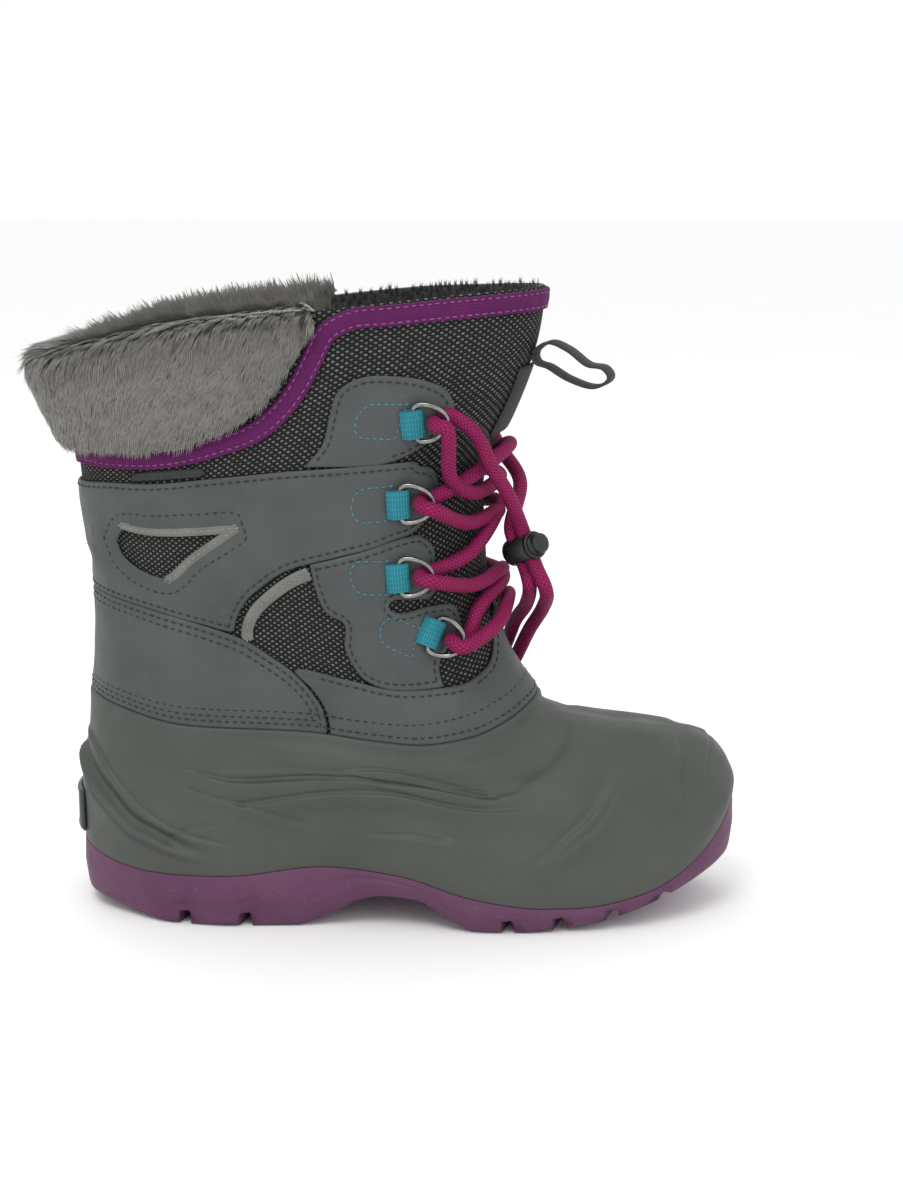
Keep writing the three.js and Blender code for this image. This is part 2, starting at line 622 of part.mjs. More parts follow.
function furLock(angle, share) {
  const section = furSection(angle);
  const wall = new THREE.CatmullRomCurve3(section.slice(1, 5));
  const base = wall.getPoint(share);
  const side = skinFrame(angle, 1.9).along;
  const down = wall.getTangent(share).negate();
  const out = skinFrame(angle, 1.9).out;
  const half = LOCK_WIDTH / 2;
  const tip = base.clone().addScaledVector(down, LOCK_LENGTH * 0.6).addScaledVector(out, 1.4);
  const high = base.clone().addScaledVector(down, -LOCK_LENGTH * 0.4).addScaledVector(out, -1);
  const left = base.clone().addScaledVector(side, -half).addScaledVector(out, -0.6);
  const right = base.clone().addScaledVector(side, half).addScaledVector(out, -0.6);
  const crest = base.clone().addScaledVector(out, 1.9);
  const root = base.clone().addScaledVector(out, -2);
  const faces = [];
  [[left, crest, high], [high, crest, right], [right, crest, tip], [tip, crest, left]].forEach(([a, b, c]) => {
    faces.push([a, c, b], [a, root, c]);
  });
  const solid = toSolid(facesToGeometry(faces));
  if (solid.volume() > 0) return solid;
  return toSolid(facesToGeometry(faces.map(([a, b, c]) => [a, c, b])));
}

// A thin patch on the skin between two angles and two levels.
function skinPatch(angleRange, levelRange, inner, outer) {
  const columns = 4;
  const rows = 2;
  const grid = (offset) => Array.from({ length: rows + 1 }, (_, i) => (
    Array.from({ length: columns + 1 }, (__, k) => skin(
      THREE.MathUtils.lerp(angleRange[0], angleRange[1], k / columns),
      THREE.MathUtils.lerp(levelRange[0], levelRange[1], i / rows),
      offset,
    ))));
  return plate(grid(outer), grid(inner));
}

// Lacing stations down the eyestay: angle, level, turn of the tape in degrees.
const STATION_ROWS = [
  [122.5, 1.733, -6],
  [125.5, 1.551, 0],
  [124.8, 1.386, 0],
  [134.3, 1.246, 33],
];
const RING_LIFT = 27; // degrees that a ring stands off the leather
const TAPE_BACK = LEATHER_FACE + GAP;
const BAR_OFFSET = TAPE_BACK + TAPE_DEPTH / 2;

// Frame at a lacing station. sideSign is 1 on the outer side and -1 on the inner side.
function stationFrame(row, sideSign) {
  const [angle, level, turn] = STATION_ROWS[row];
  const place = sideSign > 0 ? angle : 360 - angle;
  const { along, up, out } = skinFrame(place, level);
  const forward = along.clone().multiplyScalar(sideSign);
  const swing = rad(-turn * sideSign);
  const axis = out.clone();
  forward.applyAxisAngle(axis, swing);
  const rise = up.clone().applyAxisAngle(axis, swing);
  const at = skin(place, level, BAR_OFFSET);
  return { at, forward, rise, out };
}

function makeTape(row, sideSign) {
  const { at, forward, out } = stationFrame(row, sideSign);
  const hole = WIRE / 2 + GAP + 0.1;
  const half = TAPE_WIDTH / 2;
  const deep = TAPE_DEPTH / 2;
  const shape = new THREE.Shape([[-half, -deep], [half, -deep], [half, deep], [-half, deep]].map(
    ([a, b]) => new THREE.Vector2(a, b)));
  shape.holes.push(new THREE.Path([[-hole, -hole], [-hole, hole], [hole, hole], [hole, -hole]].map(
    ([a, b]) => new THREE.Vector2(a, b))));
  const tape = new THREE.ExtrudeGeometry(shape, { depth: TAPE_HEIGHT, bevelEnabled: false });
  tape.translate(0, 0, -TAPE_HEIGHT / 2);
  return placeIn(tape, at, forward, out);
}

// Moves a geometry so its x runs along one direction and its y along another.
function placeIn(geometry, at, xAxis, yAxis) {
  const zAxis = xAxis.clone().cross(yAxis);
  geometry.applyMatrix4(new THREE.Matrix4().makeBasis(xAxis, yAxis, zAxis).setPosition(at));
  return geometry;
}

function ringFrame(row, sideSign) {
  const { at, forward, rise, out } = stationFrame(row, sideSign);
  const lift = rad(RING_LIFT);
  const ahead = forward.clone().multiplyScalar(Math.cos(lift)).addScaledVector(out, Math.sin(lift));
  const face = out.clone().multiplyScalar(Math.cos(lift)).addScaledVector(forward, -Math.sin(lift));
  return { at, ahead, rise, face };
}

function makeRing(row, sideSign) {
  const { at, ahead, rise } = ringFrame(row, sideSign);
  const half = TAPE_HEIGHT / 2 + GAP + WIRE / 2;
  // Shares of the ring's depth ahead and of its half height.
  const outline = [[0, 0.5], [0, -0.5], [0.03, -0.93], [0.18, -1.06], [0.45, -1.02], [0.75, -0.78],
    [0.95, -0.4], [1, 0], [0.95, 0.4], [0.75, 0.78], [0.45, 1.02], [0.18, 1.06], [0.03, 0.93]];
  const path = new THREE.CatmullRomCurve3(outline.map(([a, b]) => (
    at.clone().addScaledVector(ahead, a * RING_DEPTH).addScaledVector(rise, b * half))), true);
  return new THREE.TubeGeometry(path, 13, WIRE / 2, 5, true);
}

// Where the lace turns round a ring's front: over the wire, inside the ring and under it.
const TURN_RADIUS = WIRE / 2 + LACE / 2 + GAP + 0.75;
function turnPoints(row, sideSign) {
  const { at, ahead, rise, face } = ringFrame(row, sideSign);
  const wire = at.clone().addScaledVector(ahead, RING_DEPTH);
  const slip = 1;
  const around = (degrees, slide) => wire.clone()
    .addScaledVector(ahead, -TURN_RADIUS * Math.sin(rad(degrees)))
    .addScaledVector(face, TURN_RADIUS * Math.cos(rad(degrees)))
    .addScaledVector(rise, slide * slip);
  return {
    over: [around(0, -1), around(45, -0.5)],
    inside: around(90, 0),
    under: [around(135, 0.5), around(180, 1)],
    end: around(136, 0.5),
  };
}

// Lace strands: the ring left by its under side, the ring reached over its wire, and
// the way between as angle, level and offset. Rings are row and side, 1 the outer side.
const STRANDS = [
  { from: [3, 1], to: [2, -1], way: [[154, 1.262, 2.6], [180, 1.29, 3.4], [208, 1.325, 3.8]] },
  { from: [3, -1], to: [2, 1], way: [[206, 1.262, 2.6], [180, 1.31, 3.4], [152, 1.325, 3.8]] },
  { from: [2, 1], to: [1, -1], way: [[152, 1.40, 2.6], [180, 1.47, 3.4], [210, 1.485, 4]] },
  { from: [2, -1], to: [1, 1], way: [[208, 1.40, 2.6], [180, 1.455, 3.4], [150, 1.475, 4]] },
  { from: [1, 1], to: [0, -1], way: [[152, 1.585, 2.6], [180, 1.63, 3.4], [208, 1.60, 4], [220, 1.63, 6]] },
  { from: [1, -1], to: [0, 1], way: [[208, 1.56, 2.6], [180, 1.545, 3.4], [152, 1.545, 4], [140, 1.60, 6]] },
];

function laceTube(points, steps, curveSegments) {
  const path = new THREE.CatmullRomCurve3(points);
  const shape = new THREE.Shape();
  shape.absarc(0, 0, LACE / 2, 0, 2 * Math.PI);
  return new THREE.ExtrudeGeometry(shape, { extrudePath: path, steps, curveSegments, bevelEnabled: false });
}

const place = ([angle, level, offset]) => skin(angle, level, offset);

function makeCrossings() {
  const [outerLow, innerLow] = [1, -1].map((side) => turnPoints(3, side));
  const bar = [outerLow.inside, ...outerLow.over.toReversed(), skin(157, 1.215, 8), skin(180, 1.242, 4.6),
    skin(203, 1.215, 8), ...innerLow.over, innerLow.inside];
  let lace = toSolid(laceTube(bar, 22, 3));
  STRANDS.forEach(({ from, to, way }) => {
    const start = turnPoints(...from);
    const end = turnPoints(...to);
    const points = [start.inside, ...start.under, ...way.map(place), ...end.over, end.inside];
    lace = lace.add(toSolid(laceTube(points, 22, 3)));
  });
  return toGeometry(lace);
}

// The cord lock hangs in front of the shaft; its barrel leans, and both lace ends pass through.
const LOCK_AT = skin(171, 1.37, 14);
const LOCK_AXIS = new THREE.Vector3(0.62, -0.68, 0.36).normalize();
const LOCK_DOWN = new THREE.Vector3(0.1, 0.1, -1).cross(LOCK_AXIS).cross(LOCK_AXIS).negate().normalize();
const LACE_PITCH = LACE + 2 * GAP;
const TAIL_PITCH = LACE + 4 * GAP;

function makeCordLock() {
  const barrel = new THREE.CylinderGeometry(BARREL_RADIUS, BARREL_RADIUS, BARREL_LENGTH, 16);
  const button = new THREE.CylinderGeometry(BUTTON_RADIUS, BUTTON_RADIUS, BUTTON_LENGTH, 12);
  button.translate(0, BARREL_LENGTH / 2 + BUTTON_LENGTH / 2 - GAP, 0);
  const slot = new THREE.BoxGeometry(4 * BARREL_RADIUS, LACE_PITCH + LACE + 4 * GAP, LACE + 4 * GAP);
  const lock = toGeometry(toSolid(barrel).add(toSolid(button)).subtract(toSolid(slot)));
  return placeIn(lock, LOCK_AT, LOCK_DOWN, LOCK_AXIS);
}

// Free lace ends: out under the top ring, down through the lock and on to the clip.
const END_ROUTES = {
  outer: [[142, 1.70, 5.5], [153, 1.62, 9.5], [163, 1.53, 12.5]],
  inner: [[218, 1.70, 5.5], [205, 1.62, 9.5], [190, 1.53, 13]],
};
const TAIL_DROP = 15; // straight below the lock
const TAIL_ROUTE = [[186, 1.185, 14], [198, 1.12, 12], [208, 1.07, 10.5]];
const CLIP_AT = [219, 1.02, 9.5];

function tailFrames() {
  const below = LOCK_AT.clone().addScaledVector(LOCK_DOWN, TAIL_DROP);
  const points = [LOCK_AT, below, ...TAIL_ROUTE.map(place), place(CLIP_AT)];
  return points.map((at, i) => {
    const from = points[Math.max(i - 1, 0)];
    const to = points[Math.min(i + 1, points.length - 1)];
    const down = to.clone().sub(from).normalize();
    const side = LOCK_AXIS.clone().addScaledVector(down, -LOCK_AXIS.dot(down)).normalize();
    return { at, down, side };
  });
}

function makeLaceEnd(sideName) {
  const sideSign = sideName === 'outer' ? 1 : -1;
  const { under, end } = turnPoints(0, sideSign);
  const aside = (at, direction, pitch) => at.clone().addScaledVector(direction, sideSign * pitch / 2);
  const reach = BARREL_RADIUS + 3;
  const through = [-1, 0, 1].map((share) => (
    aside(LOCK_AT.clone().addScaledVector(LOCK_DOWN, share * reach), LOCK_AXIS, LACE_PITCH)));
  const frames = tailFrames();
  const tail = frames.slice(1, -1).map((frame) => aside(frame.at, frame.side, TAIL_PITCH));
  const clip = frames[frames.length - 1];
  const seat = clip.at.clone().addScaledVector(clip.down, -CLIP_LENGTH / 2 - GAP);
  const points = [end, under[1], ...END_ROUTES[sideName].map(place), ...through, ...tail,
    aside(seat, clip.side, TAIL_PITCH)];
  return laceTube(points, 32, 4);
}

function makeClip() {
  const frames = tailFrames();
  const { at, down, side } = frames[frames.length - 1];
  const half = CLIP_WIDTH / 2;
  const outline = [[-0.5, -0.75], [-0.3, -1], [0.3, -1], [0.5, -0.8], [0.5, 0.8], [0.3, 1], [-0.3, 1],
    [-0.5, 0.75]];
  const shape = new THREE.Shape(outline.map(([a, b]) => new THREE.Vector2(a * CLIP_LENGTH, b * half)));
  const thickness = LACE + 1.4;
  const clip = new THREE.ExtrudeGeometry(shape, { depth: thickness, bevelEnabled: false });
  clip.translate(0, 0, -thickness / 2);
  return placeIn(clip, at, down, side);
}

// The pull loop: a strap folded into a drop shape at the top of the tongue's webbing.
function makePullLoop() {
  const seat = skin(172, 1.845, CLOTH_FACE + 2 * GAP + STRAP);
  const ahead = skinFrame(172, 1.845).out.setZ(0).normalize();
  const across = new THREE.Vector3(0, 0, 1).cross(ahead);
  const drop = [[0, 0], [5, 3.4], [12, 1], [20, -4.5], [26, -5.5], [28, -8.5], [23, -11.5], [13, -9], [5, -4.6],
    [0.4, -3]];
  const path = new THREE.CatmullRomCurve3(drop.map(([a, b]) => (
    seat.clone().addScaledVector(ahead, a).add(new THREE.Vector3(0, 0, b)))), true);
  const steps = 22;
  const frames = Array.from({ length: steps }, (_, i) => {
    const at = path.getPointAt(i / steps);
    const along = path.getTangentAt(i / steps);
    return { at, side: across, out: along.clone().cross(across).normalize() };
  });
  const half = STRAP_WIDTH / 2;
  return sweep(frames, [[-half, 0], [half, 0], [half, STRAP], [-half, STRAP]], true);
}

const materials = {
  shell: ['#5b605b', 0.62, 0],
  sole: ['#70446a', 0.6, 0],
  cloth: ['#3b3b3a', 0.9, 0],
  leather: ['#5c6262', 0.55, 0],
  fur: ['#8c8a82', 1, 0],
  binding: ['#782d7d', 0.85, 0],
  webbing: ['#3caac3', 0.8, 0],
  strap: ['#4a4c4d', 0.8, 0],
  steel: ['#b9bcc0', 0.25, 1],
  lace: ['#a52369', 0.8, 0],
  plastic: ['#2e3133', 0.45, 0],
  felt: ['#3a3a3c', 1, 0],
};

const boot = new THREE.Group();
function addPiece(name, geometry, finish) {
  const [color, roughness, metalness] = materials[finish];
  const mesh = new THREE.Mesh(geometry, new THREE.MeshStandardMaterial({ color, roughness, metalness }));
  mesh.name = name;
  boot.add(mesh);
}

addPiece('outsole', makeOutsole(), 'sole');
addPiece('shell', makeShell(), 'shell');
addPiece('insole', makeInsole(), 'felt');
addPiece('upper', makeUpper(), 'cloth');
addPiece('heel_counter', makeCounter(), 'leather');
addPiece('vamp_band', makeVampBand(), 'leather');
addPiece('quarter', makeQuarter(), 'leather');
addPiece('low_eyestay_outer', makeLowTab('outer'), 'leather');
addPiece('low_eyestay_inner', makeLowTab('inner'), 'leather');
addPiece('top_eyestay_outer', makeTopTab('outer'), 'leather');
addPiece('top_eyestay_inner', makeTopTab('inner'), 'leather');
addPiece('collar_binding', makeBinding(), 'binding');
addPiece('fur_collar', makeFur(), 'fur');
addPiece('heel_plate', skinPatch([-13, 13], [0.07, 0.34], GAP, GAP + PLATE), 'plastic');
addPiece('tongue_webbing', skinPatch([160, 177], [1.655, 1.815], CLOTH_FACE + GAP + 0.1,
  CLOTH_FACE + GAP + 0.1 + STRAP), 'strap');
addPiece('pull_loop', makePullLoop(), 'strap');
addPiece('side_tag', skinPatch([47, 70], [1.632, 1.652], CLOTH_FACE + GAP + 0.1, CLOTH_FACE + GAP + 0.1 + TAG),
  'strap');
[1, -1].forEach((sideSign) => {
  const side = sideSign > 0 ? 'outer' : 'inner';
  STATION_ROWS.forEach((_, row) => {
    addPiece(`webbing_${side}_${row + 1}`, makeTape(row, sideSign), 'webbing');
    addPiece(`d_ring_${side}_${row + 1}`, makeRing(row, sideSign), 'steel');
  });
});
addPiece('lace_crossings', makeCrossings(), 'lace');
addPiece('lace_end_outer', makeLaceEnd('outer'), 'lace');
addPiece('lace_end_inner', makeLaceEnd('inner'), 'lace');
addPiece('cord_lock', makeCordLock(), 'plastic');
addPiece('lace_clip', makeClip(), 'plastic');

export default boot;
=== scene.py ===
# %% [markdown]
# # A lace-up snow boot
# This boot is a rubber shell on a lugged sole, with a cloth shaft sewn into it, leather panels over
# the cloth and a fur collar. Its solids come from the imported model, with the toe along +X and the
# floor at zero. Each soft or moulded part is dressed here with a finer piece in the same place.

# %% Load the frame
import math

import bpy
import numpy as np
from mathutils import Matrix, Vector, geometry


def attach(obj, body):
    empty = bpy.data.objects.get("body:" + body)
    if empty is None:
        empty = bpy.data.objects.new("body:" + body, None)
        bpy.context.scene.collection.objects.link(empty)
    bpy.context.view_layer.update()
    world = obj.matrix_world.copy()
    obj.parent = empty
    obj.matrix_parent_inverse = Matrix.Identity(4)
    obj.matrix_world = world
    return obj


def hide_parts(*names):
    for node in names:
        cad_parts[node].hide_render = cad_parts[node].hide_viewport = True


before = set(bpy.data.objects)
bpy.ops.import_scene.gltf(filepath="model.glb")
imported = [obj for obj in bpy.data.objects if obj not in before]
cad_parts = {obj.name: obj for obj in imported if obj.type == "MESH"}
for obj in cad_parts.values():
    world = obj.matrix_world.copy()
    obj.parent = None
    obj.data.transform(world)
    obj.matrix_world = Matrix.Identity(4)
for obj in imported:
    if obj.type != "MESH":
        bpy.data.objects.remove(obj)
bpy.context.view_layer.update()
MM = 0.001
print("solids", len(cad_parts))

# %% [markdown]
# ## Camera
# The photograph was taken from a little above the collar, almost square to the outer side. The
# camera's place, tilt and lens were solved from points that both the photo and the solids show.

# %% Set up the camera
def add_object(name, data):
    made = bpy.data.objects.new(name, data)
    bpy.context.scene.collection.objects.link(made)
    return made


CAMERA_AT = (0.0653, -0.8479, 0.3040)
CAMERA_YAW = -2.6452  # degrees from +Y
CAMERA_PITCH = -12.2177
CAMERA_LENS = 66.84

camera_data = bpy.data.cameras.new("camera")
camera_data.lens = CAMERA_LENS
camera_data.sensor_width = 36
camera = add_object("camera", camera_data)
camera.location = CAMERA_AT
camera.rotation_euler = (math.radians(90 + CAMERA_PITCH), 0, math.radians(-CAMERA_YAW))
bpy.context.scene.camera = camera
print("camera looks from", CAMERA_AT)

# %% [markdown]
# ## Floor and light
# The light in the photo is soft and comes from all round, brighter from above. A round area light
# over the boot, two weaker ones in front and behind, and a white world give that.

# %% Lay the floor and hang the lights
FLOOR_HALF = 6.0


def add_area(name, place, target, size, power):
    data = bpy.data.lights.new(name, "AREA")
    data.shape = "DISK"
    data.size = size
    data.energy = power
    lamp = add_object(name, data)
    lamp.location = place
    lamp.rotation_euler = (Vector(target) - Vector(place)).to_track_quat("-Z", "Y").to_euler()


floor_mesh = bpy.data.meshes.new("floor")
corners = [(x * FLOOR_HALF, y * FLOOR_HALF, 0) for x, y in ((-1, -1), (1, -1), (1, 1), (-1, 1))]
floor_mesh.from_pydata(corners, [], [(0, 1, 2, 3)])
floor = add_object("floor", floor_mesh)
add_area("key_light", (-0.25, -0.85, 1.35), (0, 0, 0.1), 0.7, 7)
add_area("front_light", (0.9, -1.1, 0.7), (0, 0, 0.12), 0.9, 1.5)
add_area("back_light", (-0.5, 1.1, 1.0), (0, 0, 0.15), 1.0, 3)
world = bpy.data.worlds.new("studio")
world.use_nodes = True
sky = world.node_tree.nodes["Background"].inputs
sky["Color"].default_value = (1, 1, 1, 1)
sky["Strength"].default_value = 1.0
bpy.context.scene.world = world
bpy.context.scene.view_settings.view_transform = "Standard"
print("lights", len(bpy.data.lights))

# %% [markdown]
# ## The boot's skin
# Everything on this boot follows one surface: a stack of rings from the sole to the collar. A
# point on it is named by an angle, 0 at the heel, 90 on the outer side and 180 at the toe, and a
# level, 0 at the sole's colour line, 1 at the shell's rim and 2 at the collar. The solids were
# made on the same rings, so a fine piece made here fits over its solid.

# %% Curves through short tables
LENGTH = 258
BALL_WIDTH = 93
BOOT_HEIGHT = 242
SHELL_HEIGHT = 86
SOLE_SIDE = 23
SOLE_WEB = 18
ARCH_HEIGHT = 12
TOE_SPRING = 19.5
HEEL_BEVEL = 3.5
SWING = 7


def curve(xs, ys):
    """A smooth curve that never swings past the table's own values."""
    xs = np.array(xs, float)
    ys = np.array(ys, float)
    step = np.diff(xs)
    slope = np.diff(ys) / step
    tangent = np.zeros(len(xs))
    tangent[0] = slope[0]
    tangent[-1] = slope[-1]
    for i in range(1, len(xs) - 1):
        if slope[i - 1] * slope[i] > 0:
            a = 2 * step[i] + step[i - 1]
            b = step[i] + 2 * step[i - 1]
            tangent[i] = (a + b) / (a / slope[i - 1] + b / slope[i])

    def value(x):
        x = np.clip(np.asarray(x, float), xs[0], xs[-1])
        i = np.clip(np.searchsorted(xs, x, side="right") - 1, 0, len(xs) - 2)
        t = (x - xs[i]) / step[i]
        u = 1 - t
        ends = u * u * (1 + 2 * t) * ys[i] + t * t * (3 - 2 * t) * ys[i + 1]
        return ends + step[i] * t * u * (u * tangent[i] - t * tangent[i + 1])

    return value


def table(rows, column=1):
    return curve([row[0] for row in rows], [row[column] for row in rows])


# %% Heights along the boot
arch_share = table([[0.35, 0], [0.40, 0.42], [0.435, 0.85], [0.47, 1], [0.52, 0.93], [0.57, 0.35],
                    [0.605, 0]])
toe_share = table([[0.70, 0], [0.78, 0.11], [0.83, 0.25], [0.88, 0.44], [0.92, 0.62], [0.96, 0.82],
                   [1, 1]])
bevel_share = table([[0, 1], [0.05, 1], [0.10, 0.45], [0.14, 0]])
side_share = table([[0, 1.13], [0.05, 0.978], [0.12, 0.891], [0.25, 0.913], [0.38, 1.065], [0.5, 0.935],
                    [0.6, 0.63], [0.7, 0.457], [0.8, 0.345], [0.88, 0.301], [0.94, 0.433],
                    [0.975, 0.681], [1, 1.022]])
web_share = table([[0, 0.80], [0.25, 1], [0.36, 0.92], [0.47, 0.30], [0.60, 0.53], [0.70, 0.46],
                   [0.80, 0.32], [0.88, 0.26], [1, 0.24]])
rim_share = table([[0, 1], [0.08, 0.965], [0.25, 0.907], [0.50, 0.895], [0.65, 0.855],
                   [0.76, 0.829], [0.86, 0.849], [0.94, 0.907], [1, 0.977]])
collar_share = table([[0, 0.888], [0.12, 0.917], [0.25, 0.942], [0.50, 0.967], [0.76, 0.988],
                      [1, 1]])


def sole_bottom(s):
    return ARCH_HEIGHT * arch_share(s) + TOE_SPRING * toe_share(s) + HEEL_BEVEL * bevel_share(s)


def sole_line(s):
    return TOE_SPRING * toe_share(s) + SOLE_SIDE * side_share(s)


def floor_line(s):
    return sole_bottom(s) + SOLE_WEB * web_share(s)


def rim_line(s):
    return SHELL_HEIGHT * rim_share(s)


def collar_line(s):
    return BOOT_HEIGHT * collar_share(s)


print("toe's sole line", round(float(sole_line(1.0)), 1), "mm")

# %% Rings of the skin
RINGS = [
    # level, back, front, heel, waist, ball, toe, swing
    [0.00, -0.465, 0.533, 0.403, 0.430, 0.500, 0.414, 1.00],
    [0.12, -0.466, 0.535, 0.414, 0.446, 0.511, 0.425, 1.00],
    [0.30, -0.466, 0.525, 0.414, 0.457, 0.505, 0.414, 1.00],
    [0.50, -0.462, 0.502, 0.398, 0.457, 0.478, 0.387, 0.90],
    [0.60, -0.459, 0.475, 0.387, 0.452, 0.468, 0.371, 0.80],
    [0.65, -0.457, 0.444, 0.382, 0.446, 0.462, 0.366, 0.75],
    [0.70, -0.455, 0.390, 0.376, 0.446, 0.457, 0.371, 0.70],
    [0.74, -0.453, 0.333, 0.371, 0.441, 0.452, 0.376, 0.60],
    [0.78, -0.452, 0.295, 0.366, 0.441, 0.446, 0.371, 0.50],
    [0.84, -0.451, 0.262, 0.355, 0.435, 0.441, 0.366, 0.40],
    [0.92, -0.450, 0.240, 0.344, 0.430, 0.435, 0.344, 0.30],
    [1.00, -0.450, 0.236, 0.333, 0.430, 0.430, 0.328, 0.25],
    [1.07, -0.445, 0.207, 0.323, 0.425, 0.425, 0.317, 0.15],
    [1.14, -0.442, 0.184, 0.312, 0.425, 0.419, 0.306, 0.10],
    [1.22, -0.440, 0.172, 0.306, 0.425, 0.419, 0.301, 0.00],
    [1.35, -0.443, 0.163, 0.306, 0.430, 0.425, 0.296, 0.00],
    [1.50, -0.453, 0.158, 0.310, 0.435, 0.430, 0.296, 0.00],
    [1.60, -0.460, 0.169, 0.312, 0.441, 0.430, 0.296, 0.00],
    [1.68, -0.463, 0.194, 0.314, 0.443, 0.430, 0.290, 0.00],
    [1.78, -0.467, 0.221, 0.316, 0.445, 0.430, 0.285, 0.00],
    [1.88, -0.473, 0.240, 0.318, 0.447, 0.430, 0.280, 0.00],
    [2.00, -0.481, 0.250, 0.323, 0.452, 0.430, 0.280, 0.00],
]
STATIONS = [0.12, 0.42, 0.70, 0.88]  # shares along the boot of the heel, waist, ball and toe
ROUNDNESS = 2.3
NEAR_ANGLE = 0.6  # how far off a neighbour is taken to find a direction
NEAR_LEVEL = 0.004
ring_back, ring_front, *ring_widths, ring_swing = [table(RINGS, column) for column in range(1, 8)]
swing_share = table([[0, 0], [0.42, -0.21], [0.70, 0], [0.88, 0.57], [1, 1]])


def end_fall(s):
    return (1 - np.minimum(np.abs(2 * s - 1), 1) ** ROUNDNESS) ** (1 / ROUNDNESS)


def half_width(level, s):
    widths = [BALL_WIDTH * width(level) / end_fall(station)
              for width, station in zip(ring_widths, STATIONS)]
    total = widths[0]
    for i in range(3):
        t = np.clip((s - STATIONS[i]) / (STATIONS[i + 1] - STATIONS[i]), 0, 1)
        total = total + (widths[i + 1] - widths[i]) * t * t * (3 - 2 * t)
    return total * end_fall(s)


def skin_point(angle, level):
    """Points of the skin in millimetres, for arrays of angles and levels."""
    angle, level = np.broadcast_arrays(np.asarray(angle, float), np.asarray(level, float))
    turn = np.radians(angle)
    s = (1 - np.cos(turn)) / 2
    back = LENGTH * ring_back(level)
    front = LENGTH * ring_front(level)
    side = np.sign(np.round(np.sin(turn), 9))
    y = SWING * swing_share(s) * ring_swing(level) - side * half_width(level, s)
    low = sole_line(s) + (rim_line(s) - sole_line(s)) * level
    high = rim_line(s) + (collar_line(s) - rim_line(s)) * (level - 1)
    return np.stack([back + (front - back) * s, y, np.where(level <= 1, low, high)], -1)


norm = np.linalg.norm


def unit(vectors):
    return vectors / np.maximum(norm(vectors, axis=-1, keepdims=True), 1e-9)


def skin_frame(angle, level):
    """Directions along the ring, up the boot and out of it."""
    angle, level = np.broadcast_arrays(np.asarray(angle, float), np.asarray(level, float))
    along = unit(skin_point(angle + NEAR_ANGLE, level) - skin_point(angle - NEAR_ANGLE, level))
    below = np.maximum(level - NEAR_LEVEL, 0)
    up = unit(skin_point(angle, level + NEAR_LEVEL) - skin_point(angle, below))
    out = unit(np.cross(along, up))
    return along, np.cross(out, along), out


def skin(angle, level, offset=0.0):
    out = skin_frame(angle, level)[2]
    return skin_point(angle, level) + out * np.asarray(offset, float)[..., None]


def foot_point(angle, line, lift, inset):
    """Points inside the sole's plan outline, lifted off one of the lines above."""
    angle = np.asarray(angle, float)
    along = skin_point(angle + NEAR_ANGLE, 0) - skin_point(angle - NEAR_ANGLE, 0)
    inward = np.stack([-along[:, 1], along[:, 0], 0 * angle], -1)
    points = skin_point(angle, 0) + unit(inward) * inset
    points[:, 2] = line((1 - np.cos(np.radians(angle))) / 2) + lift
    return points


print("collar's front", np.round(skin_point(180, 2), 1))

# %% [markdown]
# The skin is curved, but cloth is cut flat. Two flat maps, for the shell and for the shaft, measure
# the way round the boot in millimetres, so that weave, stitches and creases keep their scale.

# %% Flat maps round the boot
ARC_ANGLES = np.linspace(-360, 720, 4321)


def way_along(line):
    """How far each point of a line lies from its start."""
    return np.concatenate([[0], np.cumsum(norm(np.diff(line, axis=0), axis=1))])


def arc_table(level):
    arc = way_along(skin_point(ARC_ANGLES, level))
    return arc - np.interp(0, ARC_ANGLES, arc)


SHELL_ARC = arc_table(0.5)
SHAFT_ARC = arc_table(1.5)
SHAFT_RISE = 148  # millimetres of height per level
SHELL_RISE = 66


def to_flat(angle, level, arc=SHAFT_ARC, rise=SHAFT_RISE):
    angle, level = np.broadcast_arrays(np.asarray(angle, float), np.asarray(level, float))
    return np.stack([np.interp(angle, ARC_ANGLES, arc), level * rise], -1)


def from_flat(flat):
    return np.interp(flat[:, 0], SHAFT_ARC, ARC_ANGLES), flat[:, 1] / SHAFT_RISE


print("way round the shaft", round(float(np.interp(360, ARC_ANGLES, SHAFT_ARC))), "mm")

# %% [markdown]
# ## Making meshes
# Three helpers turn points into closed pieces: rings joined in order, a cord round a path, and a
# panel cut from an outline. Each point also gets a flat place in millimetres, kept as the piece's
# UV map, which the weave and the braid read.

# %% Mesh helpers
UV_SHARE = 100  # millimetres of the flat map that make 1 in the UV map
pieces = {}


def make_mesh(name, points, faces, flat=None, smooth=True):
    """A mesh object in metres from points in millimetres, with its flat map as UVs."""
    mesh = bpy.data.meshes.new(name)
    mesh.from_pydata((np.asarray(points) * MM).tolist(), [], [list(map(int, f)) for f in faces])
    mesh.validate()
    if flat is not None:
        layer = mesh.uv_layers.new(name="flat")
        loops = np.zeros(len(mesh.loops), int)
        mesh.loops.foreach_get("vertex_index", loops)
        layer.data.foreach_set("uv", (np.asarray(flat)[loops] / UV_SHARE).astype(np.float32).ravel())
    mesh.shade_smooth() if smooth else mesh.shade_flat()
    pieces[name] = add_object(name, mesh)
    return pieces[name]


def ring_faces(count, rows, loop=False):
    """Quads between rows of points that each close on themselves."""
    faces = []
    for i in range(rows if loop else rows - 1):
        low = i * count
        high = (i + 1) % rows * count
        for k in range(count):
            n = (k + 1) % count
            faces.append((low + k, low + n, high + n, high + k))
    return faces


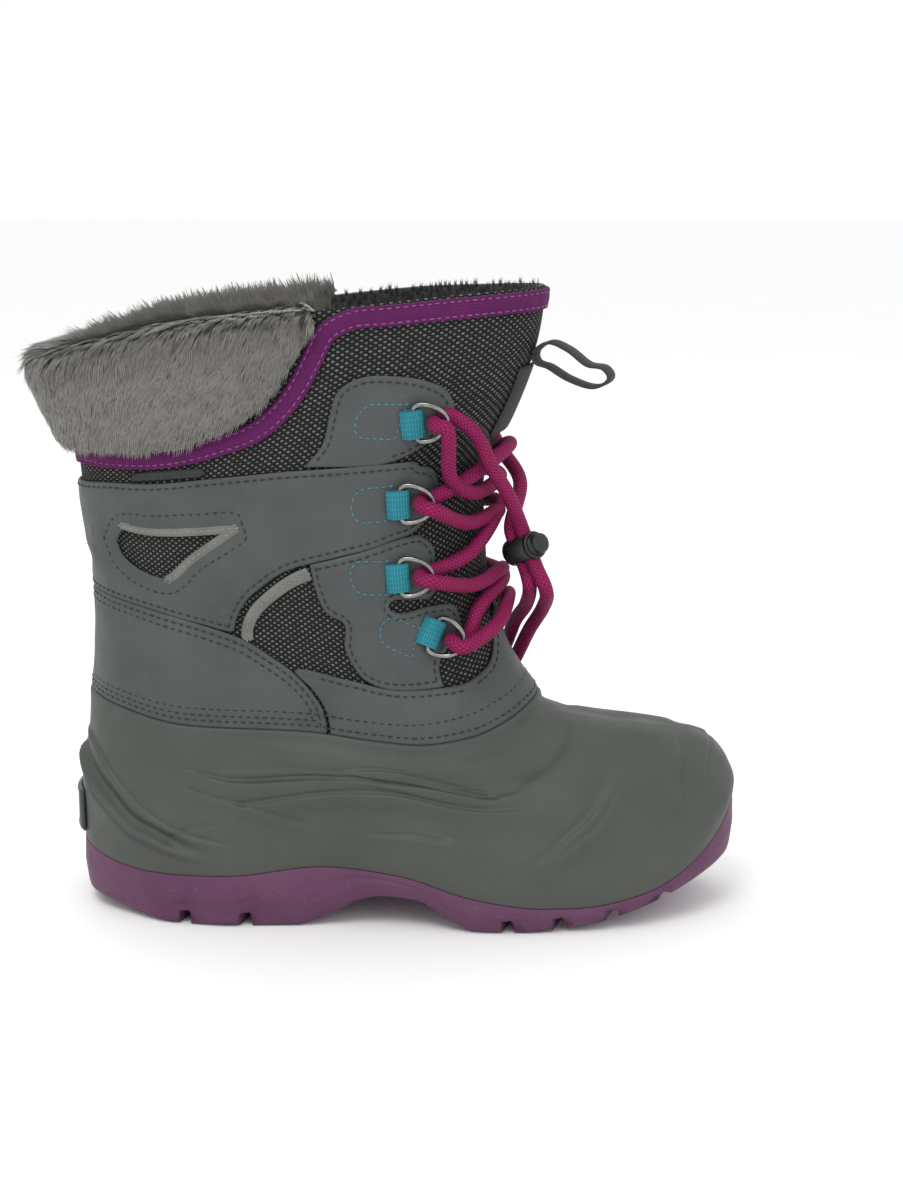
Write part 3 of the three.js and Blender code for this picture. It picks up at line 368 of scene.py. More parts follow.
def across_faces(count, start, down):
    """Closes a ring with quads from one side of the boot to the other."""
    faces = []
    for k in range(count // 2):
        a, b = start + k, start + k + 1
        c, d = start + (count - k) % count, start + count - k - 1
        corners = [a, c, d, b] if down else [a, b, d, c]
        distinct = list(dict.fromkeys(corners))
        if len(distinct) > 2:
            faces.append(distinct)
    return faces


def end_faces(count, rows):
    return [tuple(range(count))[::-1], tuple(range((rows - 1) * count, rows * count))]


def keep_result(piece):
    """Turns what the modifiers make into the piece's own plain mesh."""
    graph = bpy.context.evaluated_depsgraph_get()
    made = bpy.data.meshes.new_from_object(piece.evaluated_get(graph))
    piece.modifiers.clear()
    piece.data = made
    return made


def drop(piece):
    pieces.pop(piece.name, None)
    bpy.data.objects.remove(piece)


def finish_piece(piece, slot, *nodes, material=None):
    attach(piece, "root")
    if nodes:
        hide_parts(*nodes)
    if material:
        piece.data.materials.clear()
        piece.data.materials.append(material)
    count = sum(len(p.vertices) - 2 for p in piece.data.polygons)
    print(piece.name, count, "triangles")


# %% [markdown]
# ## Materials
# A material is a small tree of nodes: what colours the surface, what raises it, how rough it is.
# These helpers add and wire a node in one line, so each finish reads as a short list.

# %% Node helpers
LIGHT_SHARE = 0.56  # the light is brighter than the picture's by as much


def srgb(red, green, blue):
    """A colour read off a picture, from 0 to 255, in the linear values that nodes use."""
    share = np.array([red, green, blue]) / 255
    linear = np.where(share <= 0.04045, share / 12.92, ((share + 0.055) / 1.055) ** 2.4)
    return (*(linear * LIGHT_SHARE).tolist(), 1.0)


class Finish:
    """A material under construction."""

    def __init__(self, name, roughness=0.6, **sockets):
        self.material = bpy.data.materials.new(name)
        self.material.use_nodes = True
        self.tree = self.material.node_tree
        self.shader = self.tree.nodes["Principled BSDF"]
        self.shader.inputs["Roughness"].default_value = roughness
        for socket, value in sockets.items():
            self.shader.inputs[socket.replace("_", " ")].default_value = value

    def node(self, kind, inputs=None, **settings):
        made = self.tree.nodes.new(kind)
        for key, value in settings.items():
            setattr(made, key, value)
        for socket, value in (inputs or {}).items():
            self.wire(value, made.inputs[socket])
        return made

    def wire(self, value, socket):
        if isinstance(value, bpy.types.NodeSocket):
            self.tree.links.new(value, socket)
        elif socket.type == "RGBA":
            socket.default_value = srgb(*value)
        else:
            socket.default_value = value

    def math(self, operation, a, b=0.0):
        return self.node("ShaderNodeMath", {0: a, 1: b}, operation=operation).outputs[0]

    def times(self, a, b):
        return self.math("MULTIPLY", a, b)

    def wave(self, value, factor):
        return self.math("SINE", self.times(value, factor))

    def parts(self, vector):
        return self.node("ShaderNodeSeparateXYZ", {0: vector}).outputs

    def attribute(self, name):
        return self.node("ShaderNodeAttribute", attribute_name=name).outputs["Fac"]

    def place(self, scale=1.0):
        """Object coordinates in millimetres, over scale."""
        source = self.node("ShaderNodeTexCoord").outputs["Object"]
        share = 1000 / scale
        return self.node("ShaderNodeMapping", {"Vector": source, "Scale": (share,) * 3}).outputs[0]

    def flat(self):
        """The two parts of the flat map, in millimetres."""
        source = self.node("ShaderNodeUVMap", uv_map="flat").outputs[0]
        across, along, _ = self.parts(source)
        return self.times(across, UV_SHARE), self.times(along, UV_SHARE)

    def noise(self, scale, detail=3.0, rough=0.55, where=None):
        """Noise with lumps of about scale millimetres."""
        return self.node("ShaderNodeTexNoise", {"Vector": where or self.place(scale), "Scale": 1.0,
                                                "Detail": detail, "Roughness": rough}).outputs[0]

    def ramp(self, value, *stops):
        made = self.node("ShaderNodeValToRGB", {0: value})
        band = made.color_ramp
        while len(band.elements) < len(stops):
            band.elements.new(0.5)
        for element, (at, colour) in zip(band.elements, stops):
            element.position = at
            element.color = srgb(*colour)
        return made.outputs[0]

    def mix(self, share, a, b):
        made = self.node("ShaderNodeMix", data_type="RGBA")
        for socket, value in ((0, share), (6, a), (7, b)):
            self.wire(value, made.inputs[socket])
        return made.outputs[2]

    def level(self, value, low, high, to_low=0.0, to_high=1.0):
        ends = {0: value, 1: low, 2: high, 3: to_low, 4: to_high}
        return self.node("ShaderNodeMapRange", ends).outputs[0]

    def patches(self, scale, detail, low=0.3, high=0.7, to_low=0.0, to_high=1.0):
        return self.level(self.noise(scale, detail), low, high, to_low, to_high)

    def tones(self, scale, detail, dark, pale):
        return self.mix(self.patches(scale, detail), dark, pale)

    def bump(self, height, distance, normal=None):
        made = self.node("ShaderNodeBump", {"Height": height, "Distance": distance * MM})
        if normal:
            self.wire(normal, made.inputs["Normal"])
        return made.outputs[0]

    def done(self, colour=None, roughness=None, normal=None):
        for value, socket in ((colour, "Base Color"), (roughness, "Roughness"), (normal, "Normal")):
            if value is not None:
                self.wire(value, self.shader.inputs[socket])
        return self.material


floor_finish = Finish("floor_finish", 0.9)
floor_ramp = floor_finish.node("ShaderNodeMapRange", {0: floor_finish.noise(90.0), 3: 0.95, 4: 0.98})
floor.data.materials.append(floor_finish.done(floor_ramp.outputs[0]))

# %% [markdown]
# ### The lace's braid
# A round lace is braided from fine strands that cross in two slants. Two slanted counts on the flat
# map make a chequer of strands, each rounded in the middle. Painted shade darkens the grooves between
# strands, and a painted highlight lightens the crowns of some strands.

# %% Braid finish
LACE = 5.6
LACE_TURN = LACE * math.pi


def braid_finish(name, deep, pale, strands=9, pitch=1.6):
    made = Finish(name, 0.72, Specular_IOR_Level=0.25)
    around, length = made.flat()
    turns = made.times(around, strands / LACE_TURN)
    rise = made.times(length, 1 / pitch)
    one = made.math("ADD", turns, rise)
    other = made.math("SUBTRACT", turns, rise)
    fine_one = made.math("FRACT", one)
    fine_other = made.math("FRACT", other)
    cells = made.math("ADD", made.math("FLOOR", one), made.math("FLOOR", other))
    over = made.math("PINGPONG", cells, 1.0)
    across = made.node("ShaderNodeMix", {0: over, 2: fine_one, 3: fine_other}).outputs[0]
    bulge = made.wave(across, math.pi)
    lie = made.node("ShaderNodeMix", {0: over, 2: fine_other, 3: fine_one}).outputs[0]
    crown = made.wave(lie, math.pi)
    height = made.math("ADD", made.times(bulge, 0.7), made.times(crown, 0.5))
    # Painted highlight: a paler copy of the lace colour on the crowns of some strands.
    fleck = made.times(made.level(bulge, 0.75, 0.98), made.level(crown, 0.5, 0.95))
    fleck = made.times(fleck, made.patches(4.0, 3.0, 0.35, 0.6))
    # Painted shade: the colour drops to half in the grooves between strands.
    body = made.ramp(height, (0.15, [c * 0.5 for c in deep]), (0.9, deep))
    tone = made.mix(made.times(fleck, 0.4), body, pale)
    return made.done(tone, normal=made.bump(height, 0.22))


lace_finish = braid_finish("lace_braid", (178, 24, 104), (204, 74, 142))
print("braid made")

# %% [markdown]
# ## The lace
# The lace is one cord, run up the boot through four rings a side. A strand leaves a ring from below
# the wire and reaches the next one over its wire. From the top rings both ends run down through a
# cord lock to the clip that joins them. The points are worked out as the solids' own are, from the
# lacing stations, and a smooth curve runs through them.

# %% Lacing stations and rings
SHELL_WALL = 2.2
GAP = 0.3
CLOTH_WALL = 2.4
LEATHER = 1.5
CLOTH_FACE = -SHELL_WALL - GAP
CLOTH_BACK = CLOTH_FACE - CLOTH_WALL
LEATHER_BACK = CLOTH_FACE + GAP + 0.1
LEATHER_FACE = LEATHER_BACK + LEATHER
WIRE = 2.0
RING_DEPTH = 12
RING_LIFT = math.radians(27)
TAPE_HEIGHT = 10.8
TAPE_WIDTH = 7
TAPE_DEPTH = 3.6
BAR_OFFSET = LEATHER_FACE + GAP + TAPE_DEPTH / 2
STATION_ROWS = [
    # angle, level, turn of the tape
    [122.5, 1.733, -6],
    [125.5, 1.551, 0],
    [124.8, 1.386, 0],
    [134.3, 1.246, 33],
]


def turned(vector, axis, angle):
    turn = vector * math.cos(angle) + np.cross(axis, vector) * math.sin(angle)
    return turn + axis * np.dot(axis, vector) * (1 - math.cos(angle))


def station_frame(row, side):
    """Place and directions of a tape. Side is 1 on the outer side and -1 on the inner side."""
    angle, level, turn = STATION_ROWS[row]
    place = angle if side > 0 else 360 - angle
    along, up, out = skin_frame(place, level)
    swing = math.radians(-turn * side)
    return skin(place, level, BAR_OFFSET), turned(along * side, out, swing), turned(up, out, swing), out


def ring_frame(row, side):
    at, forward, rise, out = station_frame(row, side)
    ahead = forward * math.cos(RING_LIFT) + out * math.sin(RING_LIFT)
    face = out * math.cos(RING_LIFT) - forward * math.sin(RING_LIFT)
    return at, ahead, rise, face


TURN_RADIUS = WIRE / 2 + LACE / 2 + GAP + 0.75


def turn_points(row, side):
    at, ahead, rise, face = ring_frame(row, side)
    wire = at + ahead * RING_DEPTH

    def around(degrees, slide):
        turn = math.radians(degrees)
        aside = face * math.cos(turn) - ahead * math.sin(turn)
        return wire + aside * TURN_RADIUS + rise * slide

    return {"over": [around(0, -1), around(45, -0.5)], "inside": around(90, 0),
            "under": [around(135, 0.5), around(180, 1)], "end": around(136, 0.5)}


print("top ring's front wire", np.round(sum(ring_frame(0, 1)[:2]), 1))

# %% A smooth cord through points
def spline(points, closed=False, per_span=24):
    """The curve that the solids' cords follow, as close points."""
    points = [np.array(p, float) for p in points]
    if closed:
        points = [points[-1], *points, points[0], points[1]]
    else:
        points = [2 * points[0] - points[1], *points, 2 * points[-1] - points[-2]]
    line = []
    for p0, p1, p2, p3 in zip(points, points[1:], points[2:], points[3:]):
        d0, d1, d2 = (max(norm(b - a), 1e-4) ** 0.5
                      for a, b in ((p0, p1), (p1, p2), (p2, p3)))
        t1 = ((p1 - p0) / d0 - (p2 - p0) / (d0 + d1) + (p2 - p1) / d1) * d1
        t2 = ((p2 - p1) / d1 - (p3 - p1) / (d1 + d2) + (p3 - p2) / d2) * d1
        for t in np.linspace(0, 1, per_span, endpoint=False):
            square, cube = t * t, t * t * t
            line.append(p1 * (2 * cube - 3 * square + 1) + t1 * (cube - 2 * square + t)
                        + p2 * (3 * square - 2 * cube) + t2 * (cube - square))
    if not closed:
        line.append(points[-2])
    return np.array(line)


def resample(line, step, closed=False):
    if closed:
        line = np.vstack([line, line[:1]])
    lengths = way_along(line)
    count = max(int(round(lengths[-1] / step)), 2)
    at = np.linspace(0, lengths[-1], count + 1)
    points = np.stack([np.interp(at, lengths, line[:, i]) for i in range(line.shape[1])], -1)
    return points[:-1] if closed else points


UPRIGHT = [0.3, 0.2, 0.93]  # a direction that no cord here starts along


def row_flat(lengths, around):
    """The flat map of rows that lie at these lengths, with points this far round."""
    return np.stack(np.broadcast_arrays(np.atleast_2d(around), lengths[:, None]), -1).reshape(-1, 2)


def tube(line, radius, sides, closed, start):
    """Rings round a line whose direction turns with the least twist. Returns points, faces, flat."""
    count = len(line)
    ahead = np.roll(line, -1, 0) - np.roll(line, 1, 0)
    if not closed:
        ahead[0] = line[1] - line[0]
        ahead[-1] = line[-1] - line[-2]
    ahead = unit(ahead)
    side = unit(np.cross(ahead[0], UPRIGHT))
    sides_along = []
    for direction in ahead:
        side = unit(side - direction * np.dot(side, direction))
        sides_along.append(side)
    side = np.array(sides_along)
    other = np.cross(ahead, side)
    if closed:
        twist = math.atan2(np.dot(side[-1], other[0]), np.dot(side[-1], side[0]))
        turn = -np.linspace(0, 1, count, endpoint=False) * twist
        side = side * np.cos(turn)[:, None] + other * np.sin(turn)[:, None]
        other = np.cross(ahead, side)
    turns = np.linspace(0, 2 * math.pi, sides, endpoint=False)
    ring = side[:, None] * np.cos(turns)[:, None] + other[:, None] * np.sin(turns)[:, None]
    points = line[:, None] + ring * radius
    faces = ring_faces(sides, count, closed)
    if not closed:
        faces += end_faces(sides, count)
    faces = [[start + corner for corner in face] for face in faces]
    return points.reshape(-1, 3), faces, row_flat(way_along(line), turns * radius)


def seam_uv(piece, turn):
    """Carries the flat map on past the start of each ring, so no strip runs backwards."""
    layer = piece.data.uv_layers["flat"].data
    whole = turn / UV_SHARE
    for face in piece.data.polygons:
        around = [layer[i].uv[0] for i in face.loop_indices]
        if len(around) == 4 and max(around) - min(around) > whole / 2:
            for i in face.loop_indices:
                if layer[i].uv[0] < whole / 2:
                    layer[i].uv[0] += whole


def tube_piece(name, lines, radius, sides=16, closed=False):
    points, faces, flat = [], [], []
    for line in lines:
        start = sum(len(p) for p in points)
        p, f, u = tube(line, radius, sides, closed, start)
        points.append(p)
        faces += f
        flat.append(u)
    piece = make_mesh(name, np.vstack(points), faces, np.vstack(flat))
    seam_uv(piece, 2 * math.pi * radius)
    return piece


def at_skin(way):
    return [skin(angle, level, offset) for angle, level, offset in way]


# %% The free ends, the lock and the clip
LOCK_REACH = 8.4  # how far the ends run straight on both sides of the lock's axis
LACE_PITCH = LACE + 2 * GAP
TAIL_PITCH = LACE + 4 * GAP
TAIL_DROP = 15
CLIP_LENGTH = 18
LOCK_AT = skin(171, 1.37, 14)
LOCK_AXIS = unit(np.array([0.62, -0.68, 0.36]))
LOCK_DOWN = -unit(np.cross(np.cross([0.1, 0.1, -1], LOCK_AXIS), LOCK_AXIS))
END_ROUTES = {
    1: [[142, 1.70, 5.5], [153, 1.62, 9.5], [163, 1.53, 12.5]],
    -1: [[218, 1.70, 5.5], [205, 1.62, 9.5], [190, 1.53, 13]],
}
TAIL_ROUTE = [[186, 1.185, 14], [198, 1.12, 12], [208, 1.07, 10.5], [219, 1.02, 9.5]]


def tail_frames():
    points = [LOCK_AT, LOCK_AT + LOCK_DOWN * TAIL_DROP, *at_skin(TAIL_ROUTE)]
    frames = []
    for i, at in enumerate(points):
        down = unit(points[min(i + 1, len(points) - 1)] - points[max(i - 1, 0)])
        side = unit(LOCK_AXIS - down * np.dot(LOCK_AXIS, down))
        frames.append((at, down, side))
    return frames


def end_line(side):
    turn = turn_points(0, side)
    through = [LOCK_AT + LOCK_DOWN * reach + LOCK_AXIS * side * LACE_PITCH / 2
               for reach in (-LOCK_REACH, 0, LOCK_REACH)]
    frames = tail_frames()
    tail = [at + across * side * TAIL_PITCH / 2 for at, _, across in frames[1:-1]]
    at, down, across = frames[-1]
    seat = at - down * (CLIP_LENGTH / 2 + GAP) + across * side * TAIL_PITCH / 2
    return spline([turn["end"], turn["under"][1], *at_skin(END_ROUTES[side]), *through, *tail, seat])


SIDES = ((1, "outer"), (-1, "inner"))
end_lines = {side: resample(end_line(side), 1.0) for side, word in SIDES}
for side, word in SIDES:
    end_piece = tube_piece(f"lace_tail_{word}", [end_lines[side]], LACE / 2)
    finish_piece(end_piece, "lace_cord", f"lace_end_{word}", material=lace_finish)
print("ends", [round(float(way_along(line)[-1]), 1) for line in end_lines.values()], "mm")

# %% [markdown]
# ## Soft troughs and ridges
# Cloth folds where the foot bends, and the shell's mould has flowing ridges. Each is a stroke: a
# reach, a height and a line of angle and level. A point's rise is the sum of the strokes near it,
# measured on the flat map. A stroke lies on both sides of the boot unless it names one.

# %% Strokes
def stroke_rise(angle, level, strokes, arc, rise):
    """The rise in millimetres that strokes give. A pair of reaches is steep above, gentle below."""
    fold = np.where(angle % 360 > 180, 360 - angle % 360, angle % 360)
    inner = np.ravel(angle % 360 > 180)
    flat = to_flat(fold, level, arc, rise).reshape(-1, 2)
    total = np.zeros(len(flat))
    for reach, height, line, *sides in strokes:
        points = to_flat(*spline(line, per_span=10).T, arc, rise)
        share = np.linspace(0, 1, len(points) - 1)
        taper = np.minimum(1, 5 * np.minimum(share, 1 - share) + 0.05)
        start, span = points[:-1], np.diff(points, axis=0)
        margin = 2.6 * np.max(reach)
        box = np.all((flat > points.min(0) - margin) & (flat < points.max(0) + margin), axis=1)
        here = flat[box]
        if not len(here):
            continue
        away = here[:, None] - start[None]
        t = np.clip((away * span).sum(-1) / np.maximum((span ** 2).sum(-1), 1e-9), 0, 1)
        distance = norm(away - span[None] * t[..., None], axis=-1)
        nearest = distance.argmin(1)
        near = distance[np.arange(len(here)), nearest]
        side = away[np.arange(len(here)), nearest]
        ahead = span[nearest]
        above = ahead[:, 0] * side[:, 1] - ahead[:, 1] * side[:, 0] > 0
        steep, gentle = np.broadcast_to(reach, 2)
        profile = np.exp(-(near / np.where(above, steep, gentle)) ** 2)
        if steep < gentle:
            profile -= 0.4 * above * np.exp(-((near - 1.7 * steep) / steep) ** 2)
        if sides:
            profile *= inner[box] == (sides[0] == "inner")
        total[box] += height * taper[nearest] * profile
    return total.reshape(np.shape(angle))


# The mould's lines on the shell, steep above and gentle below.
CREST = (1.1, 6.5)
FINE_CREST = (0.9, 3.6)
SHELL_STROKES = [
    (CREST, 1.7, [[52, .7], [56, .682], [63, .64], [71.7, .637], [84, .664], [97.3, .695],
     [106.9, .704], [112.1, .667], [121, .687], [135.6, .724], [146.8, .737], [157.7, .753],
     [167.2, .769], [179.9, .786]]),
    (FINE_CREST, 0.9, [[84, .712], [90.8, .724], [100, .79], [108.9, .815], [116.9, .774], [120.5, .73],
     [130.6, .745], [139.7, .76], [146, .765]]),
    (CREST, 1.3, [[60, .475], [64.2, .486], [73.2, .516], [84.1, .568], [95.1, .59], [105.5, .577],
     [115, .6], [124, .63]]),
    (FINE_CREST, 1.0, [[50, .575], [53.4, .552], [61.9, .495], [68, .41], [73.8, .31], [76, .24]]),
    (FINE_CREST, 0.9, [[84, .275], [88.4, .283], [94, .318], [97.6, .323], [101, .262], [101, .101]]),
    (CREST, 1.3, [[112.4, .16], [113.6, .24], [118, .35], [122.1, .441], [134.3, .601], [146.6, .666],
     [154, .69]]),
    (FINE_CREST, 0.9, [[118, .28], [121.2, .36], [128, .467], [136.4, .586], [140, .61]]),
    (CREST, 1.2, [[180, .679], [166.9, .649], [159.3, .602], [152.5, .52], [150.4, .424], [150, .38]]),
    (FINE_CREST, 0.7, [[180, .56], [170, .535], [163, .48], [160, .42]]),
    ((3.5, 8.0), 0.8, [[60, .88], [75, .865], [92, .87], [110, .87], [121, .872], [135, .855], [150, .82],
     [165, .815], [180, .82]]),
    (1.3, -0.5, [[44, .2], [52, .33], [58, .37]]),
    (7.0, -0.9, [[20, .8], [45, .74], [70, .79], [88, .82]]),
    (6.0, -0.6, [[68, .4], [82, .44], [96, .45], [106, .4]]),
]
# The heel's kick ridge runs from the heel's back down to the sole.
KICK_LINE = [[0, .6], [4.6, .586], [16, .477], [28.4, .372], [35.8, .275], [42.6, .227], [48.3, .169],
             [56, .11]]
KICK_STROKES = [
    ((1.8, 9.0), 1.2, KICK_LINE),
    (2.4, 2.0, KICK_LINE),
    (1.4, -1.1, [[angle, level - 0.045] for angle, level in KICK_LINE]),
    (3.0, -1.3, [[angle, level + 0.06] for angle, level in KICK_LINE]),
    (FINE_CREST, 1.0, [[0, .73], [12, .715], [19, .67], [30.2, .525], [40, .385], [48.5, .29], [56, .23],
     [64, .19]]),
]

# Folds of the shaft, low enough to stay clear of the rings.
SHAFT_STROKES = [
    (3.0, -0.8, [[108, 1.312], [114, 1.318], [120, 1.326], [126, 1.335]], "outer"),
    (2.4, 0.5, [[108, 1.284], [115, 1.287], [121, 1.292]], "outer"),
    (2.0, -0.6, [[108, 1.262], [113, 1.262], [119, 1.268], [124, 1.262]], "outer"),
    (3.2, -0.7, [[20, 1.44], [27, 1.432], [35, 1.428]], "outer"),
    (3.0, 0.5, [[18, 1.485], [26, 1.478], [33, 1.476]], "outer"),
    (5.0, -0.8, [[86, 1.452], [95, 1.446], [105, 1.462], [114, 1.468]], "outer"),
    (5.5, 0.6, [[80, 1.56], [92, 1.572], [106, 1.56]], "outer"),
    (5.0, -0.6, [[100, 1.9], [112, 1.893], [126, 1.904], [140, 1.9]], "outer"),
    (6.0, 0.6, [[100, 1.862], [118, 1.858], [136, 1.866]], "outer"),
    (4.0, -0.7, [[128, 1.8], [137, 1.77], [146, 1.72], [150, 1.67]], "outer"),
    (3.5, 0.6, [[160, 1.19], [172, 1.205], [180, 1.205]]),
    (3.5, -0.8, [[158, 1.24], [170, 1.262], [180, 1.262]]),
    (4.0, -0.7, [[155, 1.36], [168, 1.34], [180, 1.35]]),
    (3.0, -0.7, [[100, 1.33], [111, 1.318], [121, 1.33]], "inner"),
    (3.5, 0.5, [[98, 1.295], [110, 1.285], [120, 1.292]], "inner"),
    (4.0, -0.7, [[22, 1.4], [31, 1.412], [41, 1.4]], "inner"),
    (5.0, -0.7, [[88, 1.462], [99, 1.45], [112, 1.462]], "inner"),
    (5.5, -0.6, [[102, 1.88], [118, 1.896], [136, 1.884]], "inner"),
    (4.0, -0.6, [[0, 1.4], [9, 1.395], [16, 1.405]]),
    (3.5, 0.4, [[0, 1.45], [10, 1.445]]),
]
LUMPS = [(0.55, 3, 11, 0.4), (0.35, 7, 23, 1.7), (0.25, 13, 37, 2.9)]


def shaft_rise(angle, level):
    """Listed folds plus a slow unevenness, less near the collar and the welt."""
    angle, level = np.broadcast_arrays(np.asarray(angle, float), np.asarray(level, float))
    total = stroke_rise(angle, level, SHAFT_STROKES, SHAFT_ARC, SHAFT_RISE)
    turn = np.radians(angle)
    for height, around, upward, phase in LUMPS:
        total = total + 0.5 * height * np.sin(around * turn + phase) * np.sin(upward * level + 2 * phase)
    return total * np.clip((level - 1.02) * 9, 0, 1) * np.clip((1.97 - level) * 12, 0.2, 1)


def soft(angle, level, offset=0.0):
    """Points of the shaft's skin with its folds."""
    return skin(angle, level, shaft_rise(angle, level) + offset)


print("folds", len(SHAFT_STROKES), "mould lines", len(SHELL_STROKES) + len(KICK_STROKES))

# %% [markdown]
# ## The moulded shell
# The shell is one closed cup: rings up the outside, over the rim and down the inside. Fine rings
# carry the mould's ridges as true relief, so they catch the light from every side.

# %% Build the shell
RIM_WALL = 2.7
SHELL_FLOOR = 2.6
SHELL_FOOT_WALL = 2.8
SHELL_SIDES = 540
shell_angles = np.linspace(0, 360, SHELL_SIDES, endpoint=False)
foot_inset = RIM_WALL + 0.8 + GAP


def shell_ring(level):
    rise = stroke_rise(shell_angles, level + 0 * shell_angles, SHELL_STROKES + KICK_STROKES,
                       SHELL_ARC, SHELL_RISE)
    return skin(shell_angles, level, rise * np.clip(level * 14, 0, 1) * np.clip((1 - level) * 20, 0, 1))


def ring_piece(name, rings):
    """A closed piece from rings round the boot, its first and last one filled from side to side."""
    count = len(rings[0])
    faces = across_faces(count, 0, True) + ring_faces(count, len(rings))
    return make_mesh(name, np.vstack(rings), faces + across_faces(count, (len(rings) - 1) * count, False))


def build_shell():
    foot = [(floor_line, GAP, foot_inset), (sole_line, -GAP, RIM_WALL + GAP),
            (sole_line, -0.1, RIM_WALL + GAP), (sole_line, -0.1, 0.6), (sole_line, 0.1, 0.1)]
    rings = [foot_point(shell_angles, *row) for row in foot]
    outside = np.concatenate([np.linspace(0.012, 0.6, 88), np.linspace(0.607, 0.985, 60)])
    rings += [shell_ring(level) for level in outside]
    lip = [(1.0, -0.25), (1.004, -0.8)]
    inside = [(level, -SHELL_WALL) for level in (1.0, 0.92, 0.84, 0.74, 0.65, 0.5, 0.25, 0.08)]
    rings += [skin(shell_angles, level, offset + 0 * shell_angles) for level, offset in lip + inside]
    rings.append(foot_point(shell_angles, floor_line, GAP + SHELL_FLOOR, foot_inset + SHELL_FOOT_WALL))
    return ring_piece("moulded_shell", rings)


shell_piece = build_shell()


# %% Rubber finish
def shell_finish():
    made = Finish("shell_rubber_finish", 0.52, Specular_IOR_Level=0.35)
    tone = made.tones(38.0, 3, (84, 89, 84), (95, 100, 94))
    specks = made.level(made.noise(2.2, 1, 0.4), 0.8, 0.84)
    streaks = {"Vector": made.place(6.0), "Scale": (60, 240, 700)}
    marks = made.node("ShaderNodeMapping", streaks).outputs[0]
    scuffs = made.level(made.noise(1, 3, 0.6, marks), 0.72, 0.8, 0, 0.22)
    tone = made.mix(made.times(specks, 0.22), tone, (150, 153, 145))
    tone = made.mix(scuffs, tone, (128, 130, 122))
    # Pale dust towards the bottom, in patches.
    low = made.level(made.parts(made.place())[2], 44, 16, 0, 0.3)
    low_tint = made.times(low, made.patches(14.0, 4, 0.35, 0.7))
    tone = made.mix(low_tint, tone, (112, 108, 96))
    rough = made.patches(9.0, 4, 0.3, 0.7, 0.46, 0.62)
    return made.done(tone, rough, made.bump(made.noise(0.7, 2), 0.05, made.bump(made.noise(5.0, 3), 0.1)))


finish_piece(shell_piece, "shell_rubber", "shell", material=shell_finish())

# %% [markdown]
# ## The sole
# The sole's side is a shallow wave between its lugs. Its grooves cut right across the bottom, so
# they are cut from a fine mesh with a boolean modifier, and the fine creases at the arch are
# strokes as on the shell.

# %% Build the sole
SOLE_SIDES = 360
sole_angles = np.linspace(0, 360, SOLE_SIDES, endpoint=False)
GROOVES = [-0.246, -0.153, 0.242, 0.316, 0.39, 0.459]
CHEVRON = 16  # degrees
CHEVRON_BACK = 0.04
SOLE_BACK = 0.465  # the sole's back end is this share of the length behind zero
SOLE_CREASES = [
    # share along the sole, share up its side, at both ends, and depth
    [0.33, 0.42, 0.47, 0.62, -0.55], [0.325, 0.55, 0.5, 0.74, -0.5], [0.335, 0.28, 0.44, 0.5, -0.5],
    [0.47, 0.66, 0.6, 0.42, -0.5], [0.5, 0.5, 0.61, 0.2, -0.45],
    [0.15, 0.22, 0.185, 0.36, -0.8], [0.245, 0.3, 0.29, 0.48, -0.7],
]


def sole_ring(share):
    """Share 0 is the ground edge and 1 the colour line."""
    s = (1 - np.cos(np.radians(sole_angles))) / 2
    low = sole_bottom(s) + 2.2
    inset = np.interp(share, [0, 0.1, 0.5, 1], [1.2, 0.7, -0.3, 0.0])
    points = foot_point(sole_angles, lambda s: low + (sole_line(s) - GAP - low) * share, 0, inset)
    rise = np.zeros(SOLE_SIDES)
    for start, low_share, end, high_share, depth in SOLE_CREASES:
        t = np.clip((s - start) / (end - start), 0, 1)
        centre = low_share + (high_share - low_share) * t + 0.05 * np.sin(math.pi * t)
        rise += depth * np.exp(-((share - centre) / 0.06) ** 2) * np.sin(math.pi * t) ** 0.6
    for groove in GROOVES:
        where = groove - CHEVRON_BACK + SOLE_BACK
        rise -= 2.6 * np.exp(-((s - where) / 0.013) ** 4) * np.clip(1 - 1.35 * share, 0, 1) ** 0.8
    rise += 0.35 * np.sin(s * 58) * (1 - share) * (s < 0.33)
    out = unit(points - np.stack([points[:, 0] * 0.96, 0 * rise, points[:, 2]], -1))
    return points + out * rise[:, None]


def build_sole():
    below = [(sole_bottom, 0, 4.0), (sole_bottom, 0.7, 2.4)]
    seat = [(sole_line, -0.1, 0.7), (sole_line, -GAP, RIM_WALL), (floor_line, 0, RIM_WALL + 0.8)]
    rings = [foot_point(sole_angles, *row) for row in below]
    rings += [sole_ring(share) for share in np.linspace(0, 1, 26)]
    return ring_piece("lugged_sole", rings + [foot_point(sole_angles, *row) for row in seat])


def groove_bars():
    """A chevron of two long bars for each groove, as one cutter."""
    points, faces = [], []
    for share in GROOVES:
        s = share - CHEVRON_BACK + SOLE_BACK
        base = float(sole_bottom(s))
        tall = min(5.5, SOLE_WEB * float(web_share(s)) - 0.9)
        for side in (-1, 1):
            turn = math.radians(side * CHEVRON)
            start = len(points)
            for across in (-2, 60):
                for x, z in ((-3.2, -4), (3.2, -4), (1.6, tall), (-1.6, tall)):
                    y = side * across
                    points.append([share * LENGTH + x * math.cos(turn) - y * math.sin(turn),
                                   x * math.sin(turn) + y * math.cos(turn), base + z])
            box = [(0, 1, 2, 3), (7, 6, 5, 4), (0, 4, 5, 1), (1, 5, 6, 2), (2, 6, 7, 3), (3, 7, 4, 0)]
            faces += [tuple(start + i for i in (face if side > 0 else face[::-1])) for face in box]
    return make_mesh("groove_bars", points, faces, smooth=False)


def cut_with(piece, cutter):
    cut = piece.modifiers.new("cut", "BOOLEAN")
    cut.operation = "DIFFERENCE"
    cut.solver = "EXACT"
    cut.use_self = True
    cut.object = cutter
    keep_result(piece)
    drop(cutter)


sole_piece = build_sole()
cut_with(sole_piece, groove_bars())
print("sole faces", len(sole_piece.data.polygons))


